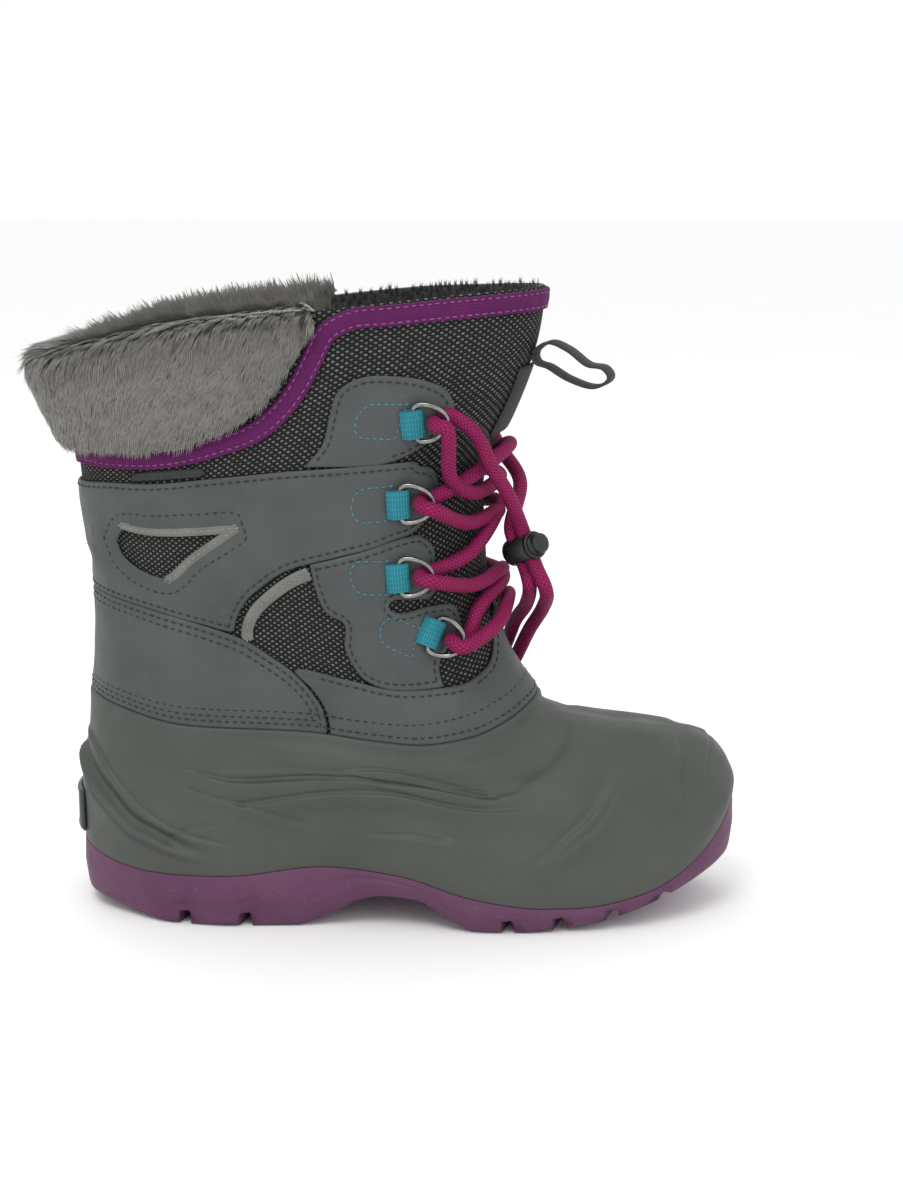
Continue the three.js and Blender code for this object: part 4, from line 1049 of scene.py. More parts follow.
# %% Sole finish
def sole_finish():
    made = Finish("sole_rubber_finish", 0.58, Specular_IOR_Level=0.38)
    tone = made.tones(30.0, 3, (112, 62, 102), (128, 76, 114))
    # Darker purple towards the ground edge, in patches.
    low = made.level(made.parts(made.place())[2], 16, 3, 0, 0.5)
    low_tint = made.times(low, made.patches(10.0, 4, 0.4, 0.65))
    tone = made.mix(low_tint, tone, (92, 58, 84))
    tone = made.mix(made.patches(3.0, 2, 0.66, 0.74, 0, 0.3), tone, (150, 118, 140))
    rough = made.patches(8.0, 3, 0.3, 0.7, 0.5, 0.68)
    return made.done(tone, rough, made.bump(made.noise(0.8, 2), 0.06, made.bump(made.noise(6.0, 3), 0.12)))


finish_piece(sole_piece, "sole_rubber", "outsole", material=sole_finish())

# %% [markdown]
# ## The cloth shaft
# The shaft is a hollow wall of coarse cloth, with a felt lining on its inside. It is one closed
# band of rings: up the outside with the folds, over the rim and down the inside.

# %% Weave finish
def weave_finish(name, dark, thread, fleck, pitch=0.98, height=0.35):
    """A basket weave: threads cross over and under, and the ones that run across are paler."""
    made = Finish(name, 0.82, Specular_IOR_Level=0.2)
    across, up = made.flat()
    wander = made.times(made.math("SUBTRACT", made.noise(16.0, 2), 0.5), 1.6)
    x = made.times(across, 1 / (pitch * 1.5))
    y = made.times(made.math("ADD", up, wander), 1 / pitch)
    column, row = made.math("FLOOR", x), made.math("FLOOR", y)
    flat_over = made.math("PINGPONG", made.math("ADD", column, row), 1.0)
    fx = made.wave(made.math("FRACT", x), math.pi)
    fy = made.wave(made.math("FRACT", y), math.pi)
    lift = made.math("POWER", made.times(fx, fy), 0.55)
    spot = made.node("ShaderNodeCombineXYZ", {0: column, 1: row}).outputs[0]
    chance = made.node("ShaderNodeTexWhiteNoise", {"Vector": spot}, noise_dimensions="2D").outputs[0]
    pale = made.times(flat_over, made.level(chance, 0.0, 1.0, 0.45, 1.0))
    pale = made.times(pale, made.level(lift, 0.35, 0.75))
    # Painted shade: the gaps between threads are painted near black, and the raised threads in thread
    # colour.
    body = made.mix(lift, dark, thread)
    tone = made.mix(pale, body, fleck)
    return made.done(tone, normal=made.bump(lift, height))


cloth_finish = weave_finish("shaft_weave", (14, 14, 15), (44, 45, 46), (140, 141, 137))


def lining_finish():
    made = Finish("lining_felt", 0.95, Sheen_Weight=0.3, Sheen_Roughness=0.6)
    curls = made.noise(1.6, 4, 0.7)
    tone = made.ramp(curls, (0.3, (14, 15, 18)), (0.7, (52, 54, 58)))
    return made.done(tone, normal=made.bump(curls, 0.9))


felt_finish = lining_finish()

# %% Build the shaft
LAP = 0.92
SHAFT_SIDES = 320
FLAT_TURN = float(to_flat(360, 0)[0])  # once round the flat map
shaft_angles = np.linspace(0, 360, SHAFT_SIDES, endpoint=False)


def shaft_ring(level, offset):
    return soft(shaft_angles, level, offset + 0 * shaft_angles)


def build_shaft():
    outside = [LAP, 1.0, *np.linspace(1.01, 1.985, 92)]
    rows = [(level, CLOTH_FACE) for level in outside]
    rows += [(2.0, CLOTH_FACE - 0.5), (2.003, CLOTH_FACE - 1.2), (2.0, CLOTH_BACK)]
    rows += [(level, CLOTH_BACK) for level in (*np.linspace(1.98, 1.0, 30), LAP)]
    rings = [shaft_ring(level, offset) for level, offset in rows]
    flat = np.concatenate([to_flat(shaft_angles, level) for level, offset in rows])
    piece = make_mesh("woven_shaft", np.vstack(rings), ring_faces(SHAFT_SIDES, len(rings), True), flat)
    piece.data.materials.append(cloth_finish)
    piece.data.materials.append(felt_finish)
    for i, face in enumerate(piece.data.polygons):
        face.material_index = 0 if i // SHAFT_SIDES <= len(outside) else 1
    seam_uv(piece, FLAT_TURN)
    return piece


shaft_piece = build_shaft()
finish_piece(shaft_piece, "woven_cloth", "upper")

# %% Build the insole
def build_insole():
    inset = foot_inset + SHELL_FOOT_WALL + GAP
    lift = GAP + SHELL_FLOOR + GAP
    profile = [(0, 0.4), (0.5, 0), (2.4, 0), (3, 0.8)]  # height, and how far in from the edge
    rings = [foot_point(shaft_angles[::2], floor_line, lift + height, inset + inwards)
             for height, inwards in profile]
    return ring_piece("felt_insole", rings)


finish_piece(build_insole(), "felt", "insole", material=felt_finish)

# %% [markdown]
# ## Leather panels
# Each panel starts as an outline on the flat map. It is filled with a fine net of triangles, laid
# on the folded skin, given a back and a rounded edge, and pressed in along its seam.

# %% Outlines on the flat map
def outline_flat(ways, step=1.6):
    """One closed outline in flat millimetres. Each way is smooth; corners are where ways meet."""
    parts = []
    for way in ways:
        points = to_flat(*np.array(way, float).T)
        if len(points) > 2:
            points = spline(points, per_span=10)
        parts.append(resample(points, step)[:-1])
    return np.vstack(parts)


def left_of(ahead):
    return np.stack([-ahead[:, 1], ahead[:, 0]], -1)


def inset_outline(points, inset):
    ahead = unit(np.roll(points, -1, 0) - np.roll(points, 1, 0))
    x, y = points.T
    turn = np.sign(np.sum(x * np.roll(y, -1) - np.roll(x, -1) * y))
    return points + left_of(ahead) * inset * turn


def nearest_rim(points, rims):
    """How far points lie from the nearest of some closed outlines."""
    return np.min([distance_to(points, rim) for rim in rims], axis=0)


def inside_of(points, outline):
    x, y = points.T[:, :, None]
    x1, y1 = outline.T[:, None]
    x2, y2 = np.roll(x1, -1, 1), np.roll(y1, -1, 1)
    crossing = ((y1 > y) != (y2 > y)) & (x < (x2 - x1) * (y - y1) / (y2 - y1 + 1e-12) + x1)
    return crossing.sum(1) % 2 == 1


def distance_to(points, outline):
    """Distance of points to a closed outline, a few at a time."""
    span = np.roll(outline, -1, 0) - outline
    square = np.maximum((span ** 2).sum(-1), 1e-9)
    result = []
    for chunk in np.array_split(points, max(len(points) // 2000, 1)):
        away = chunk[:, None] - outline[None]
        t = np.clip((away * span).sum(-1) / square, 0, 1)
        result.append(norm(away - span[None] * t[..., None], axis=-1).min(1))
    return np.concatenate(result)


# %% Fill an outline and lay it on the boot
SEAM_INSET = 1.9
PANEL_NET = 1.9
RIM_ROWS = [0.9, SEAM_INSET, 2.9]  # rows of points that follow the edge
NET_START = 3.9


def in_panel(points, rims):
    """True inside the first outline and outside the others."""
    return inside_of(points, rims[0]) & ~np.any([inside_of(points, rim) for rim in rims[1:]], axis=0)


def fill_outline(outlines, spacing):
    """Triangles that fill the first outline and leave the others open."""
    rims = [resample(outline, 1.5, closed=True) for outline in outlines]
    edges, start = [], 0
    for rim in rims:
        edges += [(start + i, start + (i + 1) % len(rim)) for i in range(len(rim))]
        start += len(rim)
    low, high = rims[0].min(0), rims[0].max(0)
    columns = np.arange(low[0], high[0], spacing)
    rows = np.arange(low[1], high[1], spacing * 0.87)
    net = np.array([(x + (spacing / 2) * (j % 2), y) for j, y in enumerate(rows) for x in columns])
    seams = [inset_outline(rim, inset if i == 0 else -inset) for i, rim in enumerate(rims)
             for inset in RIM_ROWS]
    net = net[nearest_rim(net, rims) > NET_START]
    seam_points = np.vstack(seams)
    wanted = np.repeat(RIM_ROWS * len(rims), [len(seam) for seam in seams])
    loose = np.vstack([net, seam_points[nearest_rim(seam_points, rims) > wanted * 0.93]])
    points = np.vstack([*rims, loose[in_panel(loose, rims)]])
    filled = geometry.delaunay_2d_cdt([Vector(p) for p in points], edges, [], 0, 1e-4)
    made = np.array([list(p) for p in filled[0]])
    faces = np.array([f for f in filled[2] if len(f) == 3])
    return made, faces[in_panel(made[faces].mean(1), rims)], rims


def border_edges(faces):
    """Directed edges that only one triangle has."""
    edges = {}
    for a, b, c in faces:
        for edge in ((a, b), (b, c), (c, a)):
            if edges.pop(edge[::-1], None) is None:
                edges[edge] = True
    return list(edges)


def panel(name, outlines, face, back, edge=0.45, seam=0.35, pillow=0.35, spacing=PANEL_NET):
    """A closed panel between two offsets from the skin, rounded at its edge."""
    made, faces, rims = fill_outline(outlines, spacing)
    corner = made[faces]
    normal = np.cross(corner[:, 1] - corner[:, 0], corner[:, 2] - corner[:, 0])
    faces[normal < 0] = faces[normal < 0][:, ::-1]
    near = nearest_rim(made, rims)
    angle, level = from_flat(made)
    swell = pillow * np.clip((near - 3) / 6, 0, 1) - seam * np.exp(-((near - SEAM_INSET) / 0.7) ** 2)
    rim_drop = edge * np.clip(1 - near / 0.9, 0, 1) ** 2
    rise = shaft_rise(angle, level)
    top = skin(angle, level, face + rise + swell - rim_drop)
    side = skin(angle, level, (face + back) / 2 + rise)
    under = skin(angle, level, back + rise)
    count = len(made)
    border = border_edges(faces.tolist())
    rim_points = sorted({p for e in border for p in e})
    where = {p: 2 * count + i for i, p in enumerate(rim_points)}
    inwards = skin(*from_flat(pull_in(made[rim_points], rims)), (face + back) / 2)
    bulge = unit(side[rim_points] - inwards)
    points = np.vstack([top, under, side[rim_points] + bulge * 0.18])
    flat = np.vstack([made, made, made[rim_points]])
    walls = []
    for a, b in border:
        walls += [(b, a, where[a], where[b]), (where[b], where[a], a + count, b + count)]
    all_faces = faces.tolist() + (faces[:, ::-1] + count).tolist() + walls
    return make_mesh(name, points, all_faces, flat)


def pull_in(picked, rims):
    """Points a little inside the rim, to tell which way is outwards."""
    line = np.vstack([inset_outline(rim, 0.5 if i == 0 else -0.5) for i, rim in enumerate(rims)])
    return line[norm(picked[:, None] - np.vstack(rims)[None], axis=-1).argmin(1)]


# %% [markdown]
# ### The panels' outlines
# The tables give the edges by angle and level on the outer side. Panels that wrap the heel run on
# to the inner side with the angle's sign changed; the others are mirrored.

# %% Edges of the panels
SEAM_GAP = 0.0016
COUNTER_TOP = [
    [0, 1.32], [21, 1.313], [50.2, 1.292], [65.7, 1.264], [78.8, 1.225], [84.8, 1.191], [90.6, 1.153],
    [94.5, 1.112], [96.6, 1.064], [95.9, 1.025], [95.5, 1.004]]
QUARTER_FRONT = [[129.9, 1.628], [136, 1.612], [139.5, 1.565], [137.5, 1.515], [134, 1.478]]
QUARTER_LOW = [
    [124.5, 1.468], [110.7, 1.44], [99, 1.414], [92, 1.394], [85.5, 1.36], [79.6, 1.315], [76.3, 1.263],
    [76, 1.246]]
QUARTER_TOP = [[0, 1.636], [36.8, 1.631], [55, 1.621], [75.8, 1.626], [105, 1.637], [120, 1.642]]
WINDOW = [
    [37, 1.468], [42, 1.506], [54, 1.503], [68.9, 1.503], [79.3, 1.502], [75.4, 1.481], [65, 1.431],
    [57.2, 1.38], [46.9, 1.393], [38.9, 1.43]]
LOW_TAB = [
    [138, 1.44], [138.5, 1.4], [138, 1.35], [136, 1.325], [130, 1.328], [123, 1.333], [121, 1.318],
    [124.3, 1.302], [136, 1.305], [145, 1.29], [147, 1.255], [146, 1.222], [140.5, 1.205],
    [135.5, 1.17], [135, 1.13]]
LOW_TAB_BACK = [
    [110.9, 1.15], [109, 1.171], [106.7, 1.223], [107.3, 1.25], [107.4, 1.278], [102.4, 1.301],
    [100.3, 1.344], [99.4, 1.386]]
VAMP_TOP = [
    [94, 1.148], [109, 1.141], [115, 1.133], [135, 1.118], [144, 1.112], [151, 1.115], [157, 1.121],
    [162.4, 1.136], [166.8, 1.165], [169.5, 1.2], [173, 1.222], [180, 1.226]]
TOP_TAB = [
    [97, 1.643], [100.1, 1.693], [100.3, 1.757], [101.3, 1.815], [106.3, 1.842], [114.9, 1.84],
    [124.5, 1.819], [131.1, 1.789], [134.5, 1.75], [135, 1.716], [127, 1.668], [119, 1.645]]
WELT = 1.004


def raised(way, lift):
    return [[angle, level + lift] for angle, level in way]


def heelwards(way):
    """An outer edge and its mirror round the heel, from the inner side to the outer one."""
    return [[-angle, level] for angle, level in way[::-1] if angle > 0] + way


def toewards(way):
    return way + [[360 - angle, level] for angle, level in way[::-1] if angle < 180]


def mirrored(ways):
    return [[[360 - angle, level] for angle, level in way[::-1]] for way in ways[::-1]]


def close_ways(ways):
    """Adds the first point of the next way to each, so the outline closes."""
    return [way + [following[0]] for way, following in zip(ways, ways[1:] + ways[:1])]


# %% Leather finish
def leather_finish():
    made = Finish("panel_leather", 0.5, Specular_IOR_Level=0.35)
    tone = made.tones(26.0, 3, (84, 90, 90), (97, 103, 102))
    pores = made.node("ShaderNodeTexVoronoi", {"Vector": made.place(0.9), "Scale": 1.0},
                      feature="DISTANCE_TO_EDGE")
    grain = made.level(pores.outputs[0], 0.0, 0.28)
    worn = made.level(made.noise(5.0, 4, 0.65), 0.62, 0.74, 0, 0.35)
    tone = made.mix(worn, tone, (116, 121, 119))
    rough = made.patches(7.0, 3, 0.3, 0.7, 0.44, 0.6)
    wrinkles = made.bump(made.noise(4.2, 4, 0.6), 0.22)
    return made.done(tone, rough, made.bump(grain, 0.035, wrinkles))


leather_material = leather_finish()

# %% Build the leather panels
def leather_panel(name, node, *outlines):
    piece = panel(name, list(outlines), LEATHER_FACE, LEATHER_BACK)
    finish_piece(piece, "grey_leather", node, material=leather_material)


def turned_back(way):
    """The same edge on the inner side, by the heel."""
    return [[-angle, level] for angle, level in way]


counter_ways = close_ways([heelwards(raised(COUNTER_TOP, -SEAM_GAP)),
                           [[95.5, WELT]] + [[angle, WELT] for angle in range(88, -89, -8)]])
counter_flat = outline_flat(counter_ways)
leather_panel("counter_leather", "heel_counter", counter_flat)

vamp_side = [[angle + 1.0, level] for angle, level in COUNTER_TOP[6:]][::-1]
vamp_low = [[angle, WELT] for angle in range(258, 101, -6)]
vamp_flat = outline_flat(close_ways([vamp_side, toewards(VAMP_TOP[1:]), mirrored([vamp_side])[0],
                                     vamp_low]))
leather_panel("vamp_leather", "vamp_band", vamp_flat)

quarter_low = raised(QUARTER_LOW, SEAM_GAP)
quarter_front = QUARTER_FRONT[:-1] + [[131, 1.478]]
quarter_flat = outline_flat(close_ways([heelwards(QUARTER_TOP + [[129, 1.636]]), quarter_front, quarter_low,
                                        heelwards(raised(COUNTER_TOP[:4], SEAM_GAP))[::-1],
                                        turned_back(quarter_low[::-1]), turned_back(quarter_front[::-1])]))
window_way = WINDOW + [WINDOW[0]]
window_outer = outline_flat([window_way], 1.5)
window_inner = outline_flat([turned_back(window_way)], 1.5)[::-1]
leather_panel("quarter_leather", "quarter", quarter_flat, window_outer, window_inner)

low_tab = close_ways([raised(QUARTER_LOW[:3], -SEAM_GAP)[::-1], [[133, 1.472]] + LOW_TAB,
                      raised(VAMP_TOP[2:4], 2 * SEAM_GAP)[::-1], LOW_TAB_BACK])
top_tab = [TOP_TAB + [TOP_TAB[0]]]
tab_flats = {"outer": [outline_flat(low_tab, 1.5), outline_flat(top_tab, 1.5)],
             "inner": [outline_flat(mirrored(low_tab), 1.5), outline_flat(mirrored(top_tab), 1.5)]}
for word, (low_flat, top_flat) in tab_flats.items():
    leather_panel(f"low_tab_{word}", f"low_eyestay_{word}", low_flat)
    leather_panel(f"top_tab_{word}", f"top_eyestay_{word}", top_flat)

# %% [markdown]
# ## Stitches
# A seam is one thread that dips in and out, so from outside it is a row of short dashes. A
# Geometry Nodes tree lays them: it turns a line into evenly spaced points, turns a small rounded
# dash along the line on each, and ends as real mesh with its material. Three tables describe it:
# its inputs, its nodes and its wires, from node.output to node.input.

# %% Trees from tables
def build_tree(name, result, inputs, nodes, wires):
    """Inputs: kind, value. Nodes: kind, values; a lower-case name is a setting of the node's own."""
    tree = bpy.data.node_groups.new(name, "GeometryNodeTree")
    for label, (kind, value) in inputs.items():
        socket = tree.interface.new_socket(label, in_out="INPUT", socket_type="NodeSocket" + kind)
        if value is not None:
            socket.default_value = value
    tree.interface.new_socket(result, in_out="OUTPUT", socket_type="NodeSocketGeometry")
    made = {"in": tree.nodes.new("NodeGroupInput"), "end": tree.nodes.new("NodeGroupOutput")}
    for label, (kind, values) in nodes.items():
        made[label] = tree.nodes.new(kind)
        for key, value in values.items():
            if str(key).islower():
                setattr(made[label], key, value)
            else:
                made[label].inputs[key].default_value = value
    for source, target in wires:
        a, from_socket = socket_of(source)
        b, to_socket = socket_of(target)
        tree.links.new(made[a].outputs[from_socket], made[b].inputs[to_socket])
    return tree


def socket_of(text):
    """A node's label and its socket, by name or by number."""
    label, _, socket = text.partition(".")
    return label, int(socket) if socket.isdigit() else socket


STITCHES = build_tree(
    "stitch_row", "Stitches",
    {"Lines": ("Geometry", None), "Spacing": ("Float", 0.003), "Dash length": ("Float", 0.0022),
     "Dash width": ("Float", 0.0007), "Seed": ("Int", 3), "Thread": ("Material", None)},
    {"lines": ("GeometryNodeMeshToCurve", {}),
     "evened": ("GeometryNodeResampleCurve", {"mode": "LENGTH"}),
     "dash": ("GeometryNodeMeshUVSphere", {"Segments": 6, "Rings": 4, "Radius": 0.5}),
     "size": ("ShaderNodeCombineXYZ", {}),
     "sized": ("GeometryNodeTransform", {}),
     "tangent": ("GeometryNodeInputTangent", {}),
     "outwards": ("GeometryNodeInputNamedAttribute", {"data_type": "FLOAT_VECTOR", 0: "outwards"}),
     "along": ("FunctionNodeAlignRotationToVector", {"axis": "X"}),
     "upright": ("FunctionNodeAlignRotationToVector", {"axis": "Z", "pivot_axis": "X"}),
     "vary": ("FunctionNodeRandomValue", {"data_type": "FLOAT", 2: 0.85, 3: 1.1}),
     "placed": ("GeometryNodeInstanceOnPoints", {}),
     "real": ("GeometryNodeRealizeInstances", {}),
     "finish": ("GeometryNodeSetMaterial", {})},
    [("in.Lines", "lines.0"), ("lines.0", "evened.0"), ("in.Spacing", "evened.Length"),
     ("in.Dash length", "size.0"), ("in.Dash width", "size.1"), ("in.Dash width", "size.2"),
     ("dash.0", "sized.0"), ("size.0", "sized.Scale"), ("tangent.0", "along.Vector"),
     ("along.0", "upright.Rotation"), ("outwards.0", "upright.Vector"), ("in.Seed", "vary.Seed"),
     ("evened.0", "placed.Points"), ("sized.0", "placed.Instance"), ("upright.0", "placed.Rotation"),
     ("vary.1", "placed.Scale"), ("placed.0", "real.0"), ("real.0", "finish.0"),
     ("in.Thread", "finish.Material"), ("finish.0", "end.0")])
print("stitch tree", len(STITCHES.nodes), "nodes")


# %% Rows of stitches
def apply_tree(piece, tree, values):
    """Sets a tree's inputs by identifier, then keeps its result as plain mesh."""
    modifier = piece.modifiers.new("tree", "NODES")
    modifier.node_group = tree
    for item in tree.interface.items_tree:
        if item.item_type == "SOCKET" and item.in_out == "INPUT" and item.name in values:
            modifier[item.identifier] = values[item.name]
    keep_result(piece).shade_smooth()


def store_vectors(piece, name, vectors):
    layer = piece.data.attributes.new(name, "FLOAT_VECTOR", "POINT")
    layer.data.foreach_set("vector", np.array(vectors, np.float32).ravel())


def line_piece(name, lines, outs):
    """Loose lines of points with the direction out of the surface at each."""
    edges, start = [], 0
    for line in lines:
        edges += [(start + i, start + i + 1) for i in range(len(line) - 1)]
        start += len(line)
    mesh = bpy.data.meshes.new(name)
    mesh.from_pydata((np.vstack(lines) * MM).tolist(), edges, [])
    pieces[name] = add_object(name, mesh)
    store_vectors(pieces[name], "outwards", np.vstack(outs))
    return pieces[name]


def stitch_piece(name, flats, offset, thread, slot, spacing=3.1, dash=2.3, width=0.72, seed=3):
    """One piece of stitches along lines of the flat map, on the folded skin."""
    places = [from_flat(flat) for flat in flats]
    piece = line_piece(name, [soft(*place, offset) for place in places],
                       [skin_frame(*place)[2] for place in places])
    apply_tree(piece, STITCHES, {"Spacing": spacing * MM, "Dash length": dash * MM,
                                 "Dash width": width * MM, "Seed": seed, "Thread": thread})
    finish_piece(piece, slot)


# %% Thread finishes
def thread_finish(name, dark, pale):
    made = Finish(name, 0.75, Sheen_Weight=0.2)
    x, _, z = made.parts(made.place())
    slant = made.wave(made.math("ADD", x, z), 9.0)
    # Painted highlight and shade: each twist of the thread is painted pale on its ridge and dark in its
    # groove.
    tone = made.mix(made.level(slant, -1, 1), dark, pale)
    return made.done(tone, normal=made.bump(slant, 0.05))


dark_thread = thread_finish("dark_thread", (12, 13, 16), (40, 42, 46))
blue_thread = thread_finish("blue_thread", (40, 130, 155), (100, 190, 208))
purple_thread = thread_finish("purple_thread", (140, 60, 140), (196, 120, 190))
pale_thread = thread_finish("pale_thread", (150, 150, 142), (196, 196, 188))


# %% Rows along the panels' edges
def part_of(outline, low=0.0, inset=SEAM_INSET, least_fold=-1.0):
    """The stretches of an outline's seam line above a level, and past an angle on both sides."""
    line = inset_outline(outline, inset)
    good = distance_to(line, outline) > inset * 0.9
    angle, level = from_flat(line)
    around = np.mod(angle, 360)
    good &= (level > low) & (np.minimum(around, 360 - around) > least_fold)
    if good.all():
        return [np.vstack([line, line[:1]])]
    start = int(np.argmin(good))
    line, good = np.roll(line, -start, 0), np.roll(good, -start)
    breaks = np.flatnonzero(np.diff(good.astype(int))) + 1
    runs = [run for run, ok in zip(np.split(line, breaks), np.split(good, breaks)) if ok[0]]
    return [run for run in runs if len(run) > 3]


SECOND_INSET = 4.4
WINDOW_INSET = -5.6  # outside the window's own outline
WELT_STITCHES = (0.016, 0.046)
welt_low, welt_high = [[to_flat(np.linspace(0, 359.9, 700), WELT + lift)] for lift in WELT_STITCHES]
seam_lines = part_of(counter_flat, 1.02) + welt_low + part_of(quarter_flat, 1.245)
seam_lines += part_of(vamp_flat, 1.10, least_fold=98)
for low_flat, top_flat in tab_flats.values():
    seam_lines += part_of(low_flat) + part_of(top_flat, 1.66)
second_lines = part_of(counter_flat, 1.02, SECOND_INSET) + welt_high
second_lines += part_of(window_outer, inset=WINDOW_INSET) + part_of(window_inner, inset=WINDOW_INSET)
stitch_piece("panel_stitches", seam_lines, LEATHER_FACE - 0.12, dark_thread, "lace_cord")
stitch_piece("second_stitches", second_lines, LEATHER_FACE + 0.1, dark_thread, "lace_cord")

# %% [markdown]
# Each ring's tape is held by a box of blue stitches behind it: a D shape, round at its back. Its
# corners are given by the photo on the outer side and mirrored on the inner one.

# %% Boxes behind the rings
BOXES = [
    # front top, front low, in angle and level, depth behind in millimetres
    [[119.3, 1.776], [118.6, 1.700], 15.5],
    [[122.3, 1.592], [122.3, 1.515], 14.0],
    [[121.6, 1.425], [121.4, 1.350], 14.5],
    [[130.2, 1.262], [126.3, 1.200], 14.5],
]
BOX_ROUND = 0.42  # how deep the round back is, as a share of the box's height


def other_side(flat):
    return np.column_stack([FLAT_TURN - flat[:, 0], flat[:, 1]])


def box_outline(top, low, depth, side):
    top, low = to_flat(*top), to_flat(*low)
    down = low - top
    height = norm(down)
    back = np.array([down[1], -down[0]]) / height
    middle = (top + low) / 2 + back * (depth - height * BOX_ROUND)
    arc = [middle - down / 2 * math.cos(turn) + back * height * BOX_ROUND * math.sin(turn)
           for turn in np.linspace(0, math.pi, 13)]
    points = np.array([top, *arc, low, top])
    return resample(points if side > 0 else other_side(points), 1.0)


boxes = [box_outline(*box, side) for box in BOXES for side in (1, -1)]
stitch_piece("ring_box_stitches", boxes, LEATHER_FACE + 0.42, blue_thread, "blue_webbing",
             spacing=2.6, dash=1.9, width=0.62, seed=5)

# %% [markdown]
# ## Piping at the windows
# A pale folded strip edges each window on two sides, and the hollow behind the ring tabs. It is a
# flat panel of its own, just over the leather's edge, with one row of pale stitches.

# %% Piping
def piping_finish():
    made = Finish("pale_piping", 0.45, Specular_IOR_Level=0.5)
    tone = made.tones(8.0, 3, (118, 120, 114), (142, 143, 135))
    return made.done(tone, normal=made.bump(made.noise(1.2, 3), 0.12))


piping_material = piping_finish()
PIPING = {
    # width, how far over the leather's face, edge by angle and level
    "window": (3.0, 0.1, [[40.5, 1.515], [50, 1.502], [62, 1.498], [73, 1.500], [80, 1.503]]),
    "slant": (3.0, 0.05, [[80.2, 1.504], [75.5, 1.479], [66, 1.430], [59, 1.386], [56, 1.372]]),
    "hollow": (4.2, -0.15, [[98.5, 1.392], [93.6, 1.372], [87.8, 1.338], [82.4, 1.295], [79.9, 1.255],
                            [79.6, 1.225]]),
}


def build_piping(name, way, width, face, side):
    """A flat strip along a way. Returns the line down its middle."""
    line = resample(spline(to_flat(*np.array(way, float).T), per_span=10), 1.2)
    aside = left_of(unit(np.gradient(line, axis=0))) * width / 2
    outline = np.vstack([line + aside, (line - aside)[::-1]])
    if side < 0:
        outline, line = other_side(outline)[::-1], other_side(line)
    made = panel(name, [outline], face, face - 1.0, edge=0.3, seam=0.05, pillow=0, spacing=1.4)
    finish_piece(made, "grey_leather", material=piping_material)
    return line


piping_lines = []
for side, word in SIDES:
    for kind, (width, lift, way) in PIPING.items():
        line = build_piping(f"{kind}_piping_{word}", way, width, LEATHER_FACE + lift, side)
        piping_lines.append(line)
stitch_piece("piping_stitches", piping_lines, LEATHER_FACE + 0.1, pale_thread, "grey_leather",
             spacing=2.6, dash=1.9, width=0.5, seed=7)

# %% [markdown]
# ## Binding round the collar
# A woven tape is folded over the collar's edge and sewn with two rows of stitches. It is a strip
# that follows its own centre line, slightly domed, with a fine rib in its finish.

# %% Ribbed tape finish
def tape_finish(name, deep, pale, pitch=0.8):
    made = Finish(name, 0.7, Specular_IOR_Level=0.25)
    along, across = made.flat()
    rib = made.wave(along, 2 * math.pi / pitch)
    thread = made.wave(across, 2 * math.pi / (pitch * 1.6))
    lift = made.math("ADD", made.times(rib, 0.7), made.times(thread, 0.3))
    # Painted shade and highlight: each rib is painted deep in its groove and pale on its crest.
    tone = made.mix(made.level(lift, -1, 1), deep, pale)
    tone = made.mix(made.patches(9.0, 3, 0.35, 0.7, 0.0, 0.3), tone, [c * 0.8 for c in deep])
    return made.done(tone, normal=made.bump(lift, 0.12))


binding_material = tape_finish("purple_tape", (98, 16, 90), (136, 34, 124))
strap_material = tape_finish("grey_tape", (54, 56, 58), (86, 88, 89), 1.0)
webbing_material = tape_finish("blue_tape", (34, 142, 160), (72, 182, 200), 1.15)

# %% Build the binding
BINDING_WIDTH = 8
BINDING_THICKNESS = 1.3
BINDING_SEAT = CLOTH_FACE + 0.25
BINDING_ROWS = (-2.4, 2.4)  # stitches, from the tape's middle
BINDING = [
    [0, 1.72], [21, 1.716], [41, 1.695], [54, 1.686], [65, 1.691], [74, 1.707], [82.7, 1.734],
    [88, 1.778], [91.5, 1.83], [94.6, 1.895], [97.6, 1.95], [103, 1.974], [112, 1.975], [128, 1.974],
    [150, 1.973], [180, 1.971]]
# The tape's section: share of half its width, and share of its thickness.
BINDING_SHAPE = [(-1.0, 0.0), (-1.0, 0.55), (-0.93, 0.9), (-0.74, 0.95), (-0.62, 0.8), (-0.5, 1.0),
                 (0, 1.12), (0.5, 1.0), (0.62, 0.8), (0.74, 0.95), (0.93, 0.9), (1.0, 0.55), (1.0, 0.0)]


def binding_line():
    mirror = [[360 - angle, level] for angle, level in BINDING[:-1][::-1]]
    angle, level = spline([[a, b * 100] for a, b in BINDING + mirror])[:-1].T
    return angle, level / 100


def build_binding():
    angle, level = binding_line()
    line = soft(angle, level, BINDING_SEAT)
    count = len(line)
    ahead = unit(np.roll(line, -1, 0) - np.roll(line, 1, 0))
    out = skin_frame(angle, level)[2]
    side = unit(np.cross(out, ahead))
    across = [share * (BINDING_WIDTH / 2 - 0.1) for share, _ in BINDING_SHAPE]
    pucker = 0.12 * np.sin(np.arange(count) * 0.9)
    rows = [line + side * a + out * (rise * BINDING_THICKNESS + pucker * (rise > 0))[:, None]
            for a, (_, rise) in zip(across, BINDING_SHAPE)]
    faces = [face[::-1] for face in ring_faces(len(across), count, True)]
    flat = row_flat(way_along(line), across)[:, ::-1]
    return make_mesh("collar_tape", np.stack(rows, 1).reshape(-1, 3), faces, flat)


finish_piece(build_binding(), "binding_tape", "collar_binding", material=binding_material)
binding_middle = to_flat(*binding_line())
binding_left = left_of(unit(np.gradient(binding_middle, axis=0)))
stitch_piece("binding_stitches", [binding_middle + binding_left * shift for shift in BINDING_ROWS],
             BINDING_SEAT + BINDING_THICKNESS * 0.9, purple_thread, "binding_tape",
             spacing=3.0, dash=2.2, width=0.6, seed=9)

